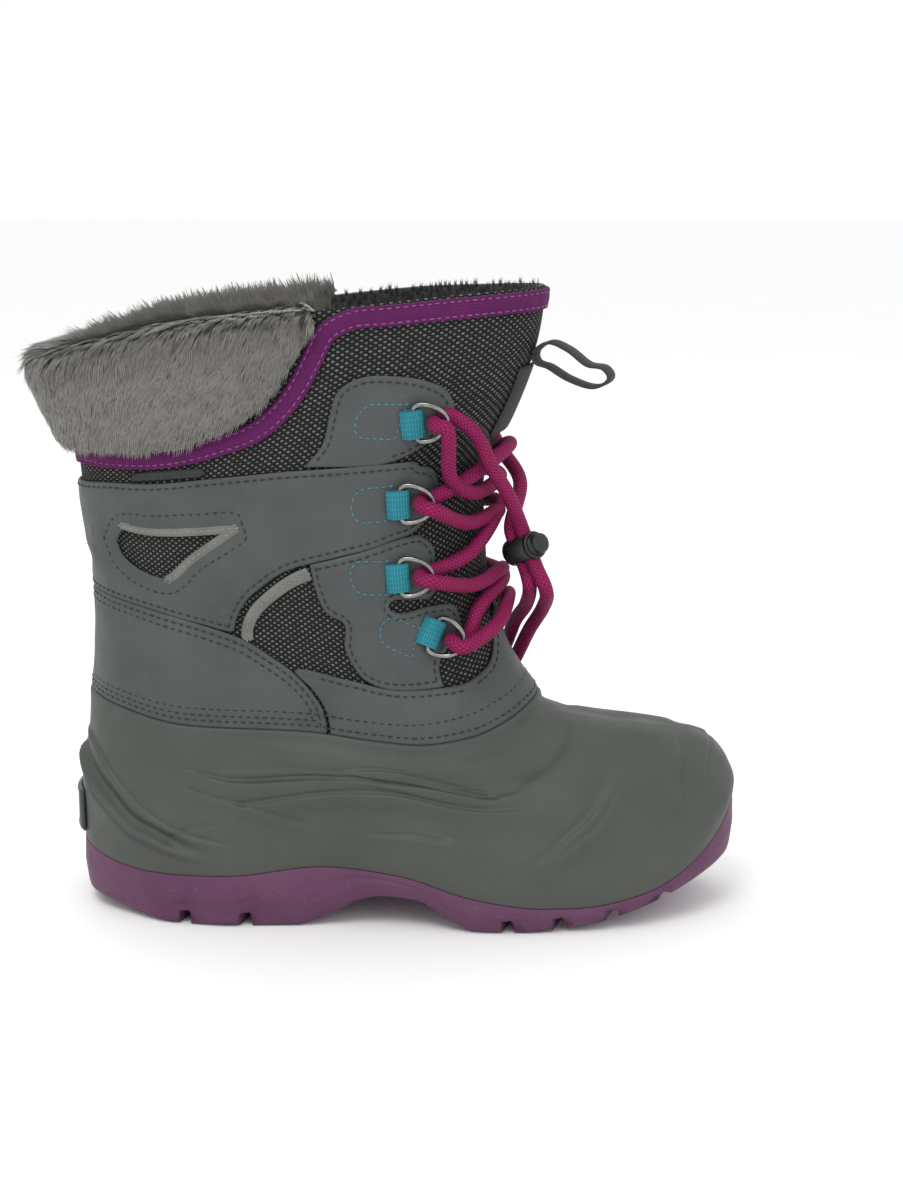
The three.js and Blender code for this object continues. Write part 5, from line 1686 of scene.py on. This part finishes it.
# %% [markdown]
# ## Rings and their tapes
# A wire ring hangs in a fold of webbing at each lacing station. The wire is a fine tube on the
# solid's own outline, and the webbing is a rounded fold round the ring's straight side.

# %% Steel finish and rings
def steel_finish():
    made = Finish("ring_wire", 0.24, Metallic=1.0)
    tone = made.mix(made.patches(4.0, 3, 0.35, 0.7), (196, 196, 192), (150, 148, 142))
    rough = made.patches(2.0, 3, 0.3, 0.7, 0.16, 0.38)
    return made.done(tone, rough, made.bump(made.noise(1.0, 2), 0.02))


steel_material = steel_finish()
RING_SHAPE = [[0, 0.5], [0, -0.5], [0.03, -0.93], [0.18, -1.06], [0.45, -1.02], [0.75, -0.78],
              [0.95, -0.4], [1, 0], [0.95, 0.4], [0.75, 0.78], [0.45, 1.02], [0.18, 1.06], [0.03, 0.93]]
# The tape's section round the wire: shares of half its width and half its depth.
TAPE_SHAPE = [(1.0, 0.0), (0.96, 0.45), (0.8, 0.8), (0.5, 0.98), (0, 1.04), (-0.5, 0.98), (-1.0, 0.80),
              (-1.25, 0.2), (-1.45, -0.5), (-1.45, -1.0), (-0.6, -1.0), (0.3, -0.98), (0.8, -0.8),
              (0.96, -0.45)]
# Its rows, as shares of half its height, and how much smaller each is.
TAPE_ROWS = [(-1, 0.75), (-0.995, 0.9), (-0.96, 0.98), (-0.9, 1), (0, 1.0), (0.9, 1), (0.96, 0.98),
             (0.995, 0.9), (1, 0.75)]


def build_ring(row, side, word):
    at, ahead, rise, _ = ring_frame(row, side)
    half = TAPE_HEIGHT / 2 + GAP + WIRE / 2
    points = [at + ahead * a * RING_DEPTH + rise * b * half for a, b in RING_SHAPE]
    line = resample(spline(points, closed=True, per_span=7), 0.7, closed=True)
    return tube_piece(f"ring_{word}_{row + 1}", [line], WIRE / 2, 12, closed=True)


def build_tape(row, side, word):
    at, forward, rise, out = station_frame(row, side)
    half = TAPE_HEIGHT / 2
    shape = np.array(TAPE_SHAPE) * [TAPE_WIDTH / 2, TAPE_DEPTH / 2]
    shape = spline(shape, closed=True, per_span=3)
    rows = [at + rise * h * half + forward * (shape[:, :1] * s) + out * (shape[:, 1:] * s)
            for h, s in TAPE_ROWS]
    flat = row_flat(np.array([h * half for h, _ in TAPE_ROWS]), way_along(shape))
    faces = ring_faces(len(shape), len(rows)) + end_faces(len(shape), len(rows))
    if np.dot(np.cross(forward, out), rise) < 0:
        faces = [face[::-1] for face in faces]
    return make_mesh(f"tape_{word}_{row + 1}", np.vstack(rows), faces, flat)


for side, word in SIDES:
    for row in range(len(STATION_ROWS)):
        finish_piece(build_ring(row, side, word), "ring_steel", f"d_ring_{word}_{row + 1}",
                     material=steel_material)
        finish_piece(build_tape(row, side, word), "blue_webbing", f"webbing_{word}_{row + 1}",
                     material=webbing_material)

# %% [markdown]
# ## Lace between the rings
# The strands follow the solids' own ways. One mesh holds them all, as one lace does.

# %% Build the strands
STRANDS = [
    # ring and side that a strand leaves, ring and side it reaches, points between on the skin
    [(3, 1), (2, -1), [[154, 1.262, 2.6], [180, 1.29, 3.4], [208, 1.325, 3.8]]],
    [(3, -1), (2, 1), [[206, 1.262, 2.6], [180, 1.31, 3.4], [152, 1.325, 3.8]]],
    [(2, 1), (1, -1), [[152, 1.40, 2.6], [180, 1.47, 3.4], [210, 1.485, 4]]],
    [(2, -1), (1, 1), [[208, 1.40, 2.6], [180, 1.455, 3.4], [150, 1.475, 4]]],
    [(1, 1), (0, -1), [[152, 1.585, 2.6], [180, 1.63, 3.4], [208, 1.60, 4], [220, 1.63, 6]]],
    [(1, -1), (0, 1), [[208, 1.56, 2.6], [180, 1.545, 3.4], [152, 1.545, 4], [140, 1.60, 6]]],
]
LOWEST_BAR = [[157, 1.215, 8], [180, 1.242, 4.6], [203, 1.215, 8]]


def strand_lines():
    outer, inner = turn_points(3, 1), turn_points(3, -1)
    ways = [[outer["inside"], *outer["over"][::-1], *at_skin(LOWEST_BAR), *inner["over"], inner["inside"]]]
    for start, end, way in STRANDS:
        a, b = turn_points(*start), turn_points(*end)
        ways.append([a["inside"], *a["under"], *at_skin(way), *b["over"], b["inside"]])
    return [resample(spline(way), 1.0) for way in ways]


finish_piece(tube_piece("lace_strands", strand_lines(), LACE / 2), "lace_cord", "lace_crossings",
             material=lace_finish)

# %% [markdown]
# ## Cord lock and clip
# The lock is a barrel with a spring button and two holes for the cords, turned from a profile. The
# clip that grips both cord ends is a block with bevelled edges.

# %% Plastic finish and turned parts
def plastic_finish(name, dark, pale, roughness=0.4):
    made = Finish(name, roughness, Specular_IOR_Level=0.5)
    tone = made.tones(6.0, 3, dark, pale)
    rough = made.patches(3.0, 3, 0.3, 0.7, roughness - 0.08, roughness + 0.1)
    return made.done(tone, rough, made.bump(made.noise(0.5, 2), 0.02))


black_plastic = plastic_finish("black_plastic_finish", (22, 24, 26), (40, 43, 46))
grey_plastic = plastic_finish("grey_plastic_finish", (50, 54, 58), (74, 78, 82), 0.42)
BARREL = 7.5  # half the barrel's length
# Radius, and height along the axis, from the barrel's foot to the button's top.
LOCK_PROFILE = [(3.6, -BARREL), (4.6, 0.15 - BARREL), (5.2, 0.7 - BARREL), (5.4, 1.5 - BARREL),
                (5.4, BARREL - 2.4), (5.1, BARREL - 2.2), (5.1, BARREL - 1.7), (5.4, BARREL - 1.5),
                (5.4, BARREL - 0.6), (5.2, BARREL - 0.1), (4.7, BARREL), (4.15, BARREL),
                (4.1, BARREL - 0.3), (3.9, BARREL - 0.3), (3.9, BARREL + 2.6), (3.8, BARREL + 3.2),
                (3.4, BARREL + 3.55), (2.6, BARREL + 3.68), (1.2, BARREL + 3.7)]
LOCK_SIDES = 40


def turn_profile(name, profile, at, axis, across):
    turns = np.linspace(0, 2 * math.pi, LOCK_SIDES, endpoint=False)
    ring = np.cos(turns)[:, None] * across + np.sin(turns)[:, None] * np.cross(axis, across)
    rows = [at + axis * height + ring * radius for radius, height in profile]
    faces = ring_faces(LOCK_SIDES, len(rows)) + end_faces(LOCK_SIDES, len(rows))
    return make_mesh(name, np.vstack(rows), faces)


lock_body = turn_profile("lock_body", LOCK_PROFILE, LOCK_AT, LOCK_AXIS, LOCK_DOWN)
cord_ways = [np.array([LOCK_AT + LOCK_DOWN * reach + LOCK_AXIS * side * LACE_PITCH / 2
                       for reach in (-9, 0, 9)]) for side, _ in SIDES]
cut_with(lock_body, tube_piece("cord_gap", cord_ways, LACE / 2 + 0.25, 20))
finish_piece(lock_body, "black_plastic", "cord_lock", material=black_plastic)


def rounded_block(name, at, axes, halves, bevel):
    corners = [(x, y, z) for x in (-1, 1) for y in (-1, 1) for z in (-1, 1)]
    points = [at + sum(axis * half * sign for axis, half, sign in zip(axes, halves, corner))
              for corner in corners]
    faces = [(0, 1, 3, 2), (4, 6, 7, 5), (0, 4, 5, 1), (2, 3, 7, 6), (0, 2, 6, 4), (1, 5, 7, 3)]
    if np.dot(np.cross(axes[0], axes[1]), axes[2]) < 0:
        faces = [face[::-1] for face in faces]
    block = make_mesh(name, points, faces)
    soften = block.modifiers.new("soften", "BEVEL")
    soften.width = bevel * MM
    soften.segments = 4
    keep_result(block).shade_smooth()
    return block


clip_at, clip_down, clip_side = tail_frames()[-1]
end_clip = rounded_block("end_clip", clip_at, (clip_down, clip_side, np.cross(clip_down, clip_side)),
                         (CLIP_LENGTH / 2, 7.5, 3.5), 1.4)
finish_piece(end_clip, "black_plastic", "lace_clip", material=black_plastic)

# %% [markdown]
# ## Tongue strip, pull strap, side tag and heel plate
# Small trim: a ribbed strip down the tongue, the pull strap folded at its top, a folded tag in the
# band's seam and a plate let into the heel. All are left plain.

# %% Flat trim and the heel plate
def patch(name, node, angles, levels, thickness, edge):
    (a0, a1), (l0, l1) = angles, levels
    middle = (a0 + a1) / 2
    way = [[[a0, l0], [middle, l0], [a1, l0]], [[a1, l0], [a1, l1]],
           [[a1, l1], [middle, l1], [a0, l1]], [[a0, l1], [a0, l0]]]
    made = panel(name, [outline_flat(way, 1.0)], LEATHER_BACK + thickness, LEATHER_BACK, edge=edge, seam=0,
                 pillow=0, spacing=1.6)
    finish_piece(made, "grey_strap", node, material=strap_material)


patch("tongue_strip", "tongue_webbing", (160, 177), (1.655, 1.815), 1.2, 0.3)
patch("seam_tag", "side_tag", (47, 70), (1.632, 1.652), 0.8, 0.2)
PLATE_ANGLE = 13  # degrees on both sides of the heel
PLATE_LEVELS = (0.07, 0.34)


def build_heel_plate():
    """A rounded plate on the shell's own rings, with a raised border."""
    across = np.linspace(-PLATE_ANGLE, PLATE_ANGLE, 30)
    levels = np.linspace(*PLATE_LEVELS, 26)
    angle, level = np.meshgrid(across, levels)
    centre, half = np.mean(PLATE_LEVELS), np.ptp(PLATE_LEVELS) / 2
    edge = np.maximum(np.abs(angle) / PLATE_ANGLE, np.abs((level - centre) / half))
    lift = 2.3 - 0.9 * np.clip((edge - 0.86) / 0.14, 0, 1) ** 2 - 0.35 * (edge < 0.78)
    faces = grid_faces(len(levels), len(across))
    border = border_edges([corners for a, b, c, d in faces for corners in ((a, b, c), (a, c, d))])
    total = angle.size
    back = [[corner + total for corner in face[::-1]] for face in faces]
    walls = [(b, a, a + total, b + total) for a, b in border]
    points = np.vstack([skin(angle, level, lift).reshape(-1, 3),
                        skin(angle, level, GAP + 0 * lift).reshape(-1, 3)])
    return make_mesh("heel_badge", points, faces + back + walls)


def grid_faces(rows, columns):
    corners = [i * columns + k for i in range(rows - 1) for k in range(columns - 1)]
    return [(a, a + 1, a + columns + 1, a + columns) for a in corners]


finish_piece(build_heel_plate(), "black_plastic", "heel_plate", material=grey_plastic)

# %% Pull strap
STRAP = 1.2
STRAP_HALF = 4.5
STRAP_STEP = 0.8
STRAP_AT = (172, 1.845)
# The strap's loop, forwards and up from its seat, and its section.
STRAP_WAY = [[0, 0], [5, 3.4], [12, 1], [20, -4.5], [26, -5.5], [28, -8.5], [23, -11.5], [13, -9],
             [5, -4.6], [0.4, -3]]
STRAP_SHAPE = [(-STRAP_HALF, 0.3), (0.3 - STRAP_HALF, 0), (STRAP_HALF - 0.3, 0), (STRAP_HALF, 0.3),
               (STRAP_HALF, 0.9), (STRAP_HALF - 0.3, STRAP), (0.3 - STRAP_HALF, STRAP), (-STRAP_HALF, 0.9)]


def build_strap():
    seat = skin(*STRAP_AT, CLOTH_FACE + 2 * GAP + STRAP)
    ahead = unit(skin_frame(*STRAP_AT)[2] * [1, 1, 0])
    across = np.cross([0, 0, 1], ahead)
    way = [seat + ahead * a + np.array([0, 0, b]) for a, b in STRAP_WAY]
    line = resample(spline(way, closed=True, per_span=12), STRAP_STEP, closed=True)
    out = unit(np.cross(unit(np.roll(line, -1, 0) - np.roll(line, 1, 0)), across))
    rows = np.stack([line + across * a + out * b for a, b in STRAP_SHAPE], 1)
    flat = row_flat(np.arange(len(line)) * STRAP_STEP, [a for a, _ in STRAP_SHAPE])[:, ::-1]
    faces = ring_faces(len(STRAP_SHAPE), len(line), True)
    return make_mesh("pull_strap", rows.reshape(-1, 3), faces, flat)


finish_piece(build_strap(), "grey_strap", "pull_loop", material=strap_material)

# %% [markdown]
# ## The fur collar
# The fur is deep plush, combed down and towards the heel. Thousands of small tufts lie on a soft
# body. A Geometry Nodes tree scatters them with a fixed seed, turns each along the nap and ends as
# real mesh.

# %% Section of the fur
FUR_DEPTH = 14.4
FUR_TOP = 6
FUR_LINING = 5.5
FUR_REACH = 20
FUR_EDGE = [
    # angle, level, fullness
    [0, 1.765, 1.00], [41, 1.738, 0.95], [54, 1.726, 0.92], [65, 1.732, 0.88], [74, 1.755, 0.82],
    [82, 1.803, 0.75], [87, 1.87, 0.66], [90, 1.92, 0.58], [94, 1.975, 0.42],
]
fur_low = table(FUR_EDGE)
fur_full = table(FUR_EDGE, 2)
FUR_END = 94
FUR_PILE = 2.6  # how far the body stays under the tufts' tips
LEAST_TOP = 1.2
OUTSIDE_POINTS = 10  # the section's points that carry tufts
OUTSIDE_SPAN = 5


def fur_section(angle):
    """Points up the outside, over the rim and down the inside."""
    side = min(angle % 360, 360 - angle % 360)
    low, full = float(fur_low(side)), float(fur_full(side))
    depth = FUR_DEPTH * full - FUR_PILE
    pressed = 1 - 0.6 * math.sqrt(max(math.sin(math.radians(angle)), 0))
    top = max(FUR_TOP * (0.5 + 0.5 * full) * pressed - FUR_PILE * 0.8, LEAST_TOP)
    face = CLOTH_FACE + GAP + 0.1
    back = CLOTH_BACK - GAP
    reach = FUR_REACH * full / BOOT_HEIGHT
    lining = FUR_LINING * full - FUR_PILE * 0.7

    def at(share, offset):
        return skin(angle, low + (2 - low) * share, offset)

    def above(height, offset):
        return skin(angle, 2, offset) + np.array([0, 0, height])

    def inside(share, offset):
        return skin(angle, 2 - 1.6 * reach * share, offset)

    return [at(0, face), at(0.02, depth * 0.3), at(0.3, depth * 0.62), at(0.6, depth * 0.86),
            at(0.92, depth), above(top * 0.6, depth * 0.82), above(top, 0),
            above(top * 0.8, back - lining * 0.7), inside(0.4, back - lining),
            inside(1, back - lining * 0.6), inside(1, back), inside(0.4, back), above(2 * GAP, back),
            above(2 * GAP, face), at(0.55, face)]


def build_fur_body():
    right = np.linspace(360 - FUR_END, 360, 70)[:-1]
    angles_round = np.concatenate([right, np.linspace(0, FUR_END, 70)])
    sections = []
    for angle in angles_round:
        section = fur_section(angle)
        outside = spline(section[:OUTSIDE_POINTS], per_span=OUTSIDE_SPAN)
        sections.append(np.vstack([outside, section[OUTSIDE_POINTS:]]))
    count = len(sections[0])
    faces = ring_faces(count, len(sections)) + end_faces(count, len(sections))
    body = make_mesh("fur_body", np.vstack(sections), [face[::-1] for face in faces])
    hairy = (OUTSIDE_POINTS - 1) * OUTSIDE_SPAN + 1
    rows = np.arange(count)
    ahead, behind = np.minimum(np.minimum(rows, hairy - 1) + 1, hairy - 1), np.minimum(rows, hairy - 1) - 1
    nap = []
    for angle, section in zip(angles_round, sections):
        lean = -0.35 * np.sign(180 - angle % 360 if angle % 360 else 0)
        upward = section[ahead] - section[np.maximum(behind, 0)]
        nap.append(unit(skin_frame(angle, 1.9)[0] * lean - unit(upward)))
    store_vectors(body, "nap", np.vstack(nap))
    return body, [i * count + k for i in range(len(sections)) for k in range(hairy)]


fur_body, hairy_points = build_fur_body()
print("fur body", len(fur_body.data.vertices), "points")


# %% A tuft and its finish
def build_tuft():
    """Sixteen thin blades from one root, lying along +X and lifting a little."""
    points, faces, tips = [], [], []
    chance = np.random.default_rng(11)
    for blade in range(16):
        sway = chance.uniform(-0.3, 0.3)
        long = chance.uniform(0.75, 1.1)
        wide = 0.021
        base = np.array([chance.uniform(-0.12, 0.12), chance.uniform(-0.16, 0.16), -0.03])
        for t, h in ((0, 0), (0.5, 0.21), (1.0, 0.2)):
            spine = base + np.array([t * long, sway * t * (1 - 0.45 * t), h])
            points += [spine + [0, wide, 0], spine - [0, wide, 0]] if t < 1 else [spine]
            tips += [t, t] if t < 1 else [t]
        start = blade * 5
        faces += [(start + 1, start + 3, start + 2, start), (start + 3, start + 4, start + 2)]
    mesh = bpy.data.meshes.new("tuft")
    mesh.from_pydata([tuple(p) for p in points], [], faces)
    layer = mesh.attributes.new("tip", "FLOAT", "POINT")
    layer.data.foreach_set("value", np.array(tips, np.float32))
    return bpy.data.objects.new("tuft", mesh)


def fur_finish():
    made = Finish("plush_fur", 0.8, Sheen_Weight=0.4, Sheen_Roughness=0.5)
    # Painted shade: the tufts are painted dark at their roots, deep in the pile, and pale towards their
    # tips.
    tone = made.ramp(made.attribute("tip"), (0.0, (88, 86, 81)), (0.4, (134, 132, 125)),
                     (1.0, (174, 171, 162)))
    tone = made.mix(made.level(made.attribute("shade"), 0, 1, 0, 0.45), tone, (112, 110, 104))
    return made.done(made.mix(made.patches(14.0, 3, 0.35, 0.7, 0, 0.25), tone, (150, 147, 139)))


def fur_body_finish():
    made = Finish("fur_ground", 0.95, Sheen_Weight=0.3)
    fine = made.noise(1.4, 4, 0.7)
    tone = made.ramp(fine, (0.3, (112, 110, 104)), (0.7, (136, 134, 127)))
    return made.done(tone, normal=made.bump(fine, 0.6))


# %% Tree that scatters the tufts
TUFTS = build_tree(
    "scatter_tufts", "Fur",
    {"Body": ("Geometry", None), "Tuft": ("Object", None), "Closest": ("Float", 0.0016),
     "Most per area": ("Float", 600000.0), "Length": ("Float", 0.01), "Seed": ("Int", 5),
     "Pile": ("Material", None)},
    {"scatter": ("GeometryNodeDistributePointsOnFaces", {"distribute_method": "POISSON"}),
     "hairy": ("GeometryNodeInputNamedAttribute", {"data_type": "FLOAT", 0: "hairy"}),
     "where": ("FunctionNodeCompare", {"data_type": "FLOAT", 1: 0.99}),
     "nap": ("GeometryNodeInputNamedAttribute", {"data_type": "FLOAT_VECTOR", 0: "nap"}),
     "jitter": ("FunctionNodeRandomValue", {"data_type": "FLOAT_VECTOR", 0: (-0.2,) * 3, 1: (0.2,) * 3}),
     "swirl": ("ShaderNodeTexNoise", {"Scale": 55.0, "Detail": 1.0}),
     "middle": ("ShaderNodeVectorMath", {"operation": "SUBTRACT", 1: (0.5, 0.5, 0.5)}),
     "strong": ("ShaderNodeVectorMath", {"operation": "SCALE", "Scale": 0.75}),
     "lean": ("ShaderNodeVectorMath", {"operation": "ADD"}),
     "lean_more": ("ShaderNodeVectorMath", {"operation": "ADD"}),
     "upright": ("FunctionNodeAlignRotationToVector", {"axis": "Z"}),
     "along": ("FunctionNodeAlignRotationToVector", {"axis": "X", "pivot_axis": "Z"}),
     "tuft": ("GeometryNodeObjectInfo", {}),
     "size": ("FunctionNodeRandomValue", {"data_type": "FLOAT", 2: 0.75, 3: 1.15}),
     "scaled": ("ShaderNodeMath", {"operation": "MULTIPLY"}),
     "placed": ("GeometryNodeInstanceOnPoints", {}),
     "shade": ("FunctionNodeRandomValue", {"data_type": "FLOAT"}),
     "kept": ("GeometryNodeStoreNamedAttribute",
              {"data_type": "FLOAT", "domain": "INSTANCE", "Name": "shade"}),
     "real": ("GeometryNodeRealizeInstances", {}),
     "finish": ("GeometryNodeSetMaterial", {})},
    [("in.Body", "scatter.Mesh"), ("hairy.0", "where.0"), ("where.0", "scatter.Selection"),
     ("in.Closest", "scatter.Distance Min"), ("in.Most per area", "scatter.Density Max"),
     ("in.Seed", "scatter.Seed"), ("swirl.1", "middle.0"), ("middle.0", "strong.0"), ("nap.0", "lean.0"),
     ("strong.0", "lean.1"), ("lean.0", "lean_more.0"), ("jitter.0", "lean_more.1"),
     ("scatter.Normal", "upright.Vector"), ("upright.0", "along.Rotation"), ("lean_more.0", "along.Vector"),
     ("in.Tuft", "tuft.Object"), ("in.Length", "scaled.0"), ("size.1", "scaled.1"), ("in.Seed", "size.Seed"),
     ("in.Seed", "jitter.Seed"), ("scatter.Points", "placed.Points"), ("tuft.Geometry", "placed.Instance"),
     ("along.0", "placed.Rotation"), ("scaled.0", "placed.Scale"), ("placed.0", "kept.Geometry"),
     ("shade.1", "kept.Value"), ("kept.0", "real.0"), ("real.0", "finish.0"), ("in.Pile", "finish.Material"),
     ("finish.0", "end.0")])
tuft_object = build_tuft()


def scatter_fur(name, body, hairy, closest, length, seed, pile):
    """Tufts on a copy of the body, where its points are hairy."""
    pieces[name] = add_object(name, body.data.copy())
    pieces[name].vertex_groups.new(name="hairy").add(hairy, 1.0, "REPLACE")
    apply_tree(pieces[name], TUFTS, {"Tuft": tuft_object, "Closest": closest * MM, "Length": length * MM,
                                     "Seed": seed, "Pile": pile})
    pieces[name].vertex_groups.clear()
    return pieces[name]


fur_material = fur_finish()
fur_pile = scatter_fur("fur_pile", fur_body, hairy_points, 1.85, 8.5, 5, fur_material)
fine_pile = scatter_fur("fur_pile_fine", fur_body, hairy_points, 1.85, 7.5, 17, fur_material)
finish_piece(fur_body, "fur", "fur_collar", material=fur_body_finish())
finish_piece(fur_pile, "fur")
finish_piece(fine_pile, "fur")

# %% [markdown]
# ### Pile of the lining
# Round the front half the dark lining ends in the open, so its own short pile stands a little over
# the rim. The same tree scatters it on a band along the rim's inside.

# %% Scatter the lining's pile
LINING_SPAN = (96, 264)
LINING_ROWS = (1.90, 1.95, 1.998)


def lining_band():
    across = np.linspace(*LINING_SPAN, 85)
    rows = [skin(across, level, CLOTH_BACK - 0.1 + 0 * across) for level in LINING_ROWS]
    faces = [(a, d, c, b) for a, b, c, d in grid_faces(len(rows), len(across))]
    band = make_mesh("lining_band", np.vstack(rows), faces)
    store_vectors(band, "nap", [(0.0, 0.0, 1.0)] * len(band.data.vertices))
    return band


def lining_pile_finish():
    made = Finish("lining_pile_finish", 0.9, Sheen_Weight=0.25)
    # Painted shade: the pile is painted dark at its roots and lighter at its tips.
    return made.done(made.ramp(made.attribute("tip"), (0.0, (26, 27, 30)), (1.0, (66, 68, 72))))


band = lining_band()
every_point = list(range(len(band.data.vertices)))
lining_pile = scatter_fur("lining_pile", band, every_point, 1.6, 3.4, 29, lining_pile_finish())
drop(band)
finish_piece(lining_pile, "felt")

# %% Finish
for side, word in SIDES:
    line = end_lines[side]
    round(float(way_along(line)[-1]) * MM, 4)
